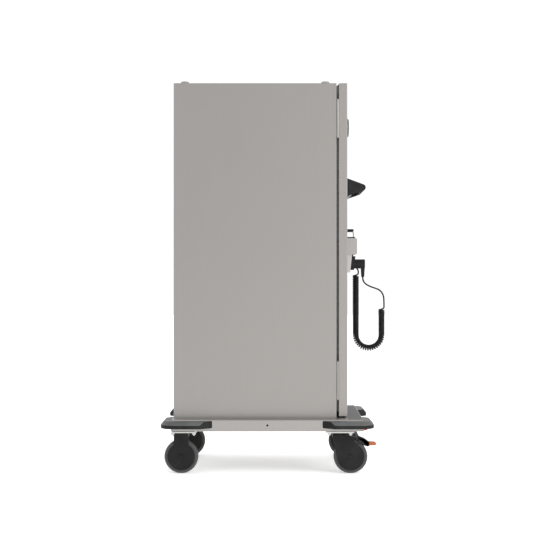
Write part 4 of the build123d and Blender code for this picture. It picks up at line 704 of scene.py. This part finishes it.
# %% Turn the gland
gland_low, gland_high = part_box("cable_gland")
gland = Vector(((gland_low.x + gland_high.x) / 2, (gland_low.y + gland_high.y) / 2, gland_low.z))
sleeve_length = gland_high.z - gland_low.z
RIBS, RIB_PITCH, RIB_WIDTH, GROOVE, TAPER = 5, 0.0024, 0.0013, 0.0006, 0.00035
NUT_Z, NUT_CHAMFER, NUT_FLATS = 0.0122, 0.0012, 0.0065
profile = [(0.0027, 0.0)]
for rib in range(RIBS):
    rib_z = 0.0006 + rib * RIB_PITCH
    rib_r = 0.0036 + rib * TAPER
    profile += [(rib_r, rib_z), (rib_r, rib_z + RIB_WIDTH),
                (rib_r - GROOVE, rib_z + 0.0015), (rib_r - GROOVE, rib_z + 0.0022)]
profile += [(0.0056, 0.0128), (0.0056, sleeve_length)]
stand_for(lathe("gland_sleeve", profile, gland, "Z", cord_rubber, 32), "cable_gland")
nut_radius = NUT_FLATS / math.cos(math.pi / 6)
nut = lathe("gland_nut", [(0.005, NUT_Z), (nut_radius * 0.9, NUT_Z), (nut_radius, NUT_Z + NUT_CHAMFER),
                          (nut_radius, sleeve_length)], gland, "Z", black_plastic, 6)
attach(nut, "heating_module")
print("gland sleeve", round(sleeve_length, 4), "m long")

# %% [markdown]
# ## The mains cord
#
# The cord leaves the gland under the heating module, winds into some seventy tight curls that hang in a
# loop, and comes back to the parked plug. It is one spline, as the real cord is one piece: the
# listed route down from the gland, the curls, and the listed route to the plug. The
# curls follow a second route, the loop's own middle line, which is read back from a smooth spline
# so that the curls never see a corner. A spline of this kind cuts inside its control points, so
# those of the curls stand a little outside the real winding.

# %% Routes repeated from the CAD source
WIRE = 0.0060
CURL_RADIUS = 0.0095
NEAR_Y = -0.3375
FAR_Y = -0.4375
CURL_NEAR_TOP = 0.7335
CURL_FAR_TOP = 0.6015
BEND_Z = 0.5013
NEAR_TURNS, BEND_TURNS, FAR_TURNS = 34, 19.5, 15
STEPS_PER_TURN = 14

GLAND_ROUTE = [
    (0.010, -0.3216, 0.7915),
    (0.010, -0.3216, 0.7785),
    (0.0, -0.3469, 0.7569),
    (0.0, -0.3469, 0.7439),
]
PLUG_ROUTE = [
    (-0.030, -0.3626, 0.7265),
    (-0.030, -0.3626, 0.7095),
    (-0.027, -0.381, 0.694),
    (-0.018, -0.4055, 0.685),
    (-0.008, -0.431, 0.6765),
    (-0.002, -0.4455, 0.6565),
    (0.0, -0.4472, 0.6345),
    (0.0, -0.4470, 0.6119),
]


# %% A spline and its points
def nurbs(name, points, thickness=0.0):
    """A smooth open spline with these control points."""
    curve = bpy.data.curves.new(name, "CURVE")
    curve.dimensions = "3D"
    curve.resolution_u = 3
    spline = curve.splines.new("NURBS")
    spline.points.add(len(points) - 1)
    for control, point in zip(spline.points, points):
        control.co = (*point, 1)
    spline.order_u = 3
    spline.use_endpoint_u = True
    curve.bevel_depth = thickness / 2
    curve.bevel_resolution = 3
    curve.use_fill_caps = True
    made = bpy.data.objects.new(name, curve)
    bpy.context.scene.collection.objects.link(made)
    return made


def read_points(route):
    """The points of a spline as Blender draws it."""
    bpy.context.view_layer.update()
    mesh = bpy.data.meshes.new_from_object(route)
    points = [v.co.copy() for v in mesh.vertices]
    bpy.data.meshes.remove(mesh)
    bpy.data.objects.remove(route)
    return points


bend_y = (NEAR_Y + FAR_Y) / 2
bend_radius = (NEAR_Y - FAR_Y) / 2
corner_radius = bend_radius / math.cos(math.pi / 8)
axis_route = [(0, NEAR_Y, CURL_NEAR_TOP), (0, NEAR_Y, BEND_Z + bend_radius * math.tan(math.pi / 8))]
for eighth in (1, 3, 5, 7):
    angle = eighth * math.pi / 8
    axis_route.append((0, bend_y + corner_radius * math.cos(angle),
                       BEND_Z - corner_radius * math.sin(angle)))
axis_route += [(0, FAR_Y, BEND_Z + bend_radius * math.tan(math.pi / 8)), (0, FAR_Y, CURL_FAR_TOP)]
axis_curve = nurbs("loop_route", axis_route)
axis_curve.data.resolution_u = 24
axis_points = read_points(axis_curve)
lengths = [0.0]
for here, there in zip(axis_points, axis_points[1:]):
    lengths.append(lengths[-1] + (there - here).length)
print("loop's middle line", round(lengths[-1], 4), "m in", len(axis_points), "points")


# %% Winding the curls
def along_axis(distance):
    """The point and heading of the loop's middle line after so many metres."""
    i = 1
    while i < len(lengths) - 1 and lengths[i] < distance:
        i += 1
    here, there = axis_points[i - 1], axis_points[i]
    share = (distance - lengths[i - 1]) / (lengths[i] - lengths[i - 1])
    return here.lerp(there, share), (there - here).normalized()


def turn_to_distance(turn):
    """Where along the middle line a turn stands: the curls open out round the bend."""
    near = CURL_NEAR_TOP - BEND_Z
    bend = math.pi * bend_radius
    if turn < NEAR_TURNS:
        return near * turn / NEAR_TURNS
    if turn < NEAR_TURNS + BEND_TURNS:
        return near + bend * (turn - NEAR_TURNS) / BEND_TURNS
    return near + bend + (lengths[-1] - near - bend) * (turn - NEAR_TURNS - BEND_TURNS) / FAR_TURNS


# %% Draw the cord as one spline
turns = NEAR_TURNS + BEND_TURNS + FAR_TURNS
outside = 1 / ((1 + math.cos(2 * math.pi / STEPS_PER_TURN)) / 2)
BLEND_IN, LIFT = 0.45, 0.0075
curls = []
for step in range(round(turns * STEPS_PER_TURN) + 1):
    turn = step / STEPS_PER_TURN
    centre, heading = along_axis(turn_to_distance(turn))
    across = Vector((1, 0, 0))
    inward = heading.cross(across)
    angle = 2 * math.pi * turn + math.pi / 2
    point = centre + (across * math.cos(angle) + inward * math.sin(angle)) * CURL_RADIUS * outside
    for ends_at in (turn, turns - turn):
        if ends_at < BLEND_IN:
            point.z += LIFT * (1 - ends_at / BLEND_IN) ** 2
    curls.append(tuple(point))

cord_points = GLAND_ROUTE[:-1] + curls + PLUG_ROUTE[-2::-1]
cord = nurbs("mains_cord", cord_points, WIRE)
cord.data.materials.append(cord_rubber)
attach(cord, "heating_module")
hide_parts("gland_lead", "spiral_cord", "plug_lead")
print("curls", turns, "control points", len(cord_points))

# %% [markdown]
# ## Chassis and bumpers
#
# The chassis is a folded tray with its grain lengthwise. The corner bumpers are black mouldings
# whose slanted upper faces take a lighter, glossier grey, a painted highlight for the light that
# falls on them from above, so a rule gives those faces a lighter finish. A dark disc of painted
# shade stands for the shadowed small hole in the middle of each side.

# %% Dress the chassis
def slants_up(face):
    """Whether a face looks upwards, where the painted highlight goes."""
    return face.normal.z > 0.15


tray_low, tray_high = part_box("chassis_tray")


def tray_top(face):
    """Whether a face is the level top of the tray."""
    return face.normal.z > 0.9 and face.calc_center_median().z > tray_high.z - 0.0005


dress("chassis_tray", steel_lengthwise, 0.0008, 3, others=[(steel_tray, tray_top)])
for end in ("front", "rear"):
    for side in ("left", "right"):
        # Painted highlight: faces that look upwards take a lighter, glossier grey than the black
        # bumper.
        dress(f"bumper_{end}_{side}", bumper_rubber, 0.003, 4, others=[(bumper_painted_highlight, slants_up)])
for side, x in (("left", tray_low.x), ("right", tray_high.x)):
    proud = math.copysign(0.0004, x)
    middle = (x, (tray_low.y + tray_high.y) / 2, (tray_low.z + tray_high.z) / 2)
    # Painted shade: a dark disc stands in for the shade inside the small hole.
    hole_shade_disc = lathe(f"side_hole_painted_shade_{side}", [(0, proud), (0.0032, proud), (0.004, 0), (0, 0)],
                    middle, "X", black_painted_shade, 24)
    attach(hole_shade_disc, "cabinet")
print("tray is", round(tray_high.y - tray_low.y, 4), "m long")

# %% [markdown]
# ## Wheels and casters
#
# A tyre is turned from one profile with round shoulders. The forks are pressed steel in black, so
# their edges are soft, and the plates, nuts and kingpins are zinc plated.

# %% Turn the tyres
TYRE_DEPTH, CROWN, SHOULDER_ARC = 0.0125, 0.0015, 0.006


def tyre(node):
    """A tread ring with round shoulders in the CAD ring's box."""
    low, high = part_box(node)
    centre = (low + high) / 2
    outer, half = (high.z - low.z) / 2, (high.x - low.x) / 2
    rim, shoulder = outer - TYRE_DEPTH, outer - CROWN
    profile = fillet_profile([(rim, -half), (shoulder, -half), (outer, -half * 0.55),
                              (outer, half * 0.55), (shoulder, half), (rim, half)], SHOULDER_ARC, 6)
    piece = lathe(node + "_piece", profile, centre, "X", tread_rubber, 128)
    return stand_for(piece, node)


for end in ("front", "rear"):
    for side in ("left", "right"):
        tyre(f"tyre_{end}_{side}")
        dress(f"wheel_core_{end}_{side}", core_plastic, 0.0008)

# %% Dress the forks and plates
PLATE = 0.006
plate_bottom = tray_low.z - PLATE


def above_fork(face):
    """Whether a face is part of the plate above a fork."""
    return face.calc_center_median().z > plate_bottom - 0.0002


def under_plate(face):
    """Whether a face is part of the bearing head below the plate."""
    return face.calc_center_median().z < plate_bottom - 0.0002


for side in ("left", "right"):
    dress(f"swivel_fork_{side}", fork_black, 0.0012, 3)
    dress(f"front_axle_{side}", fork_black, 0.001, 2)
dress("fixed_forks", fork_black, 0.0012, 3, others=[(zinc, above_fork)])
dress("rear_axles", fork_black, 0.001, 2)
dress("swivel_plates", zinc, 0.0008, others=[(fork_black, under_plate)])
dress("caster_bolts", zinc, 0.0005)
print("plates end at", round(plate_bottom, 4))

# %% [markdown]
# ## Brake pedals
#
# A pedal is pressed from black sheet: its web lies over the tyre, and two flanges reach down
# beside it. The CAD lever is a little narrower than the tyre, so its copy is widened first, and
# the flanges are cut as plates that just clear the tyre and the cheeks of the fork. A flange's
# outline goes from the tread along the top of the lever to its pin, and back above the tyre.

# %% Widen the lever and add the flanges
LEVER_HALF, FLANGE_HALF, FLANGE_SHEET = 0.015, 0.0183, 0.0015
PIVOT_Y, PIN_ROOM, HEAD_ROOM = -0.3045, 0.026, 0.0145
for side in ("left", "right"):
    lever_low, lever_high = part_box(f"brake_pedal_{side}")
    tread_low, tread_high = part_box(f"pedal_tread_{side}")
    pedal_x = (tread_low.x + tread_high.x) / 2

    def widen(point):
        """Moves the flanks of the lever out, and leaves its longer pin alone."""
        offset = point.x - pedal_x
        if abs(offset) < LEVER_HALF + 0.0002:
            point.x = pedal_x + offset * FLANGE_HALF / LEVER_HALF
        return point

    dress(f"brake_pedal_{side}", black_plastic, 0.0015, 3, reshape=widen)
    dress(f"pedal_tread_{side}", orange_plastic, 0.0015, 3, reshape=widen)
    root, low, high = tread_high.y, tread_low.z, tread_high.z
    outline = [(root, low), (root, high), (root + 0.016, high + 0.012),
               (PIVOT_Y - PIN_ROOM, plate_bottom - HEAD_ROOM), (PIVOT_Y - PIN_ROOM, low + 0.007),
               (root + 0.019, low + 0.001), (root + 0.009, low - 0.002)]
    for flank in (-1, 1):
        outer_x = pedal_x + flank * FLANGE_HALF
        inner_x = outer_x - flank * FLANGE_SHEET
        where = "outer" if flank * pedal_x > 0 else "inner"
        flange = prism(f"pedal_flange_{side}_{where}", outline,
                       min(outer_x, inner_x), max(outer_x, inner_x), black_plastic)
        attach(flange, f"brake_pedal_{side}")
undressed = [n for n, o in frame["nodes"].items() if not o.hide_render]
print("CAD nodes still showing", undressed)

# %% [markdown]
# ## Camera, floor and light
#
# The photograph is a straight side view at half the cabinet's height from about five metres, so
# the camera stands there with a long lens. A pale floor, a white room and three large soft lights
# give the even light of a product studio. The floor glows a little, as a floor that is lit from
# below does, which keeps the shadow under the chassis faint. The panel beside the camera is what
# the side of the cabinet mirrors, so the sheet grows lighter towards the door.

# %% Camera
lens = bpy.data.cameras.new("camera")
lens.lens = 86.6
camera = bpy.data.objects.new("camera", lens)
camera.location = (-5.176, -0.0292, 0.7283)
camera.rotation_euler = (math.radians(90), 0, math.radians(-90))
bpy.context.scene.collection.objects.link(camera)
bpy.context.scene.camera = camera
print("camera", [round(c, 3) for c in camera.location], "lens", round(lens.lens, 1))

# %% Floor and light
bpy.ops.mesh.primitive_plane_add(size=40)
floor = bpy.context.object
floor.name = "studio_floor"
studio = Finish("studio_floor", Roughness=0.6, Emission_Color=(1, 1, 1, 1), Emission_Strength=0.35)
floor.data.materials.append(studio.drive(Base_Color=studio.blend(
    studio.noise(1.5, 2.0), paint(249, 249, 249), paint(252, 252, 252))))

world = bpy.data.worlds.new("studio")
world.use_nodes = True
world.node_tree.nodes["Background"].inputs["Color"].default_value = (1, 1, 1, 1)
world.node_tree.nodes["Background"].inputs["Strength"].default_value = 1.05
bpy.context.scene.world = world
bpy.context.scene.view_settings.view_transform = "Standard"


def soft_light(name, place, target, size, power):
    """A large square lamp that looks at a point."""
    lamp = bpy.data.lights.new(name, "AREA")
    lamp.size = size
    lamp.energy = power
    holder = bpy.data.objects.new(name, lamp)
    holder.location = place
    holder.rotation_euler = (Vector(target) - Vector(place)).to_track_quat("-Z", "Y").to_euler()
    bpy.context.scene.collection.objects.link(holder)


soft_light("key", (-3.0, -3.8, 2.6), (0, 0, 0.8), 3.0, 110)
soft_light("fill", (-3.4, 2.6, 2.4), (0, 0, 0.8), 2.6, 10)
soft_light("panel", (-6.0, -1.95, 0.9), (0, -1.95, 0.9), 3.6, 14)
print("lamps", len(bpy.data.lights))
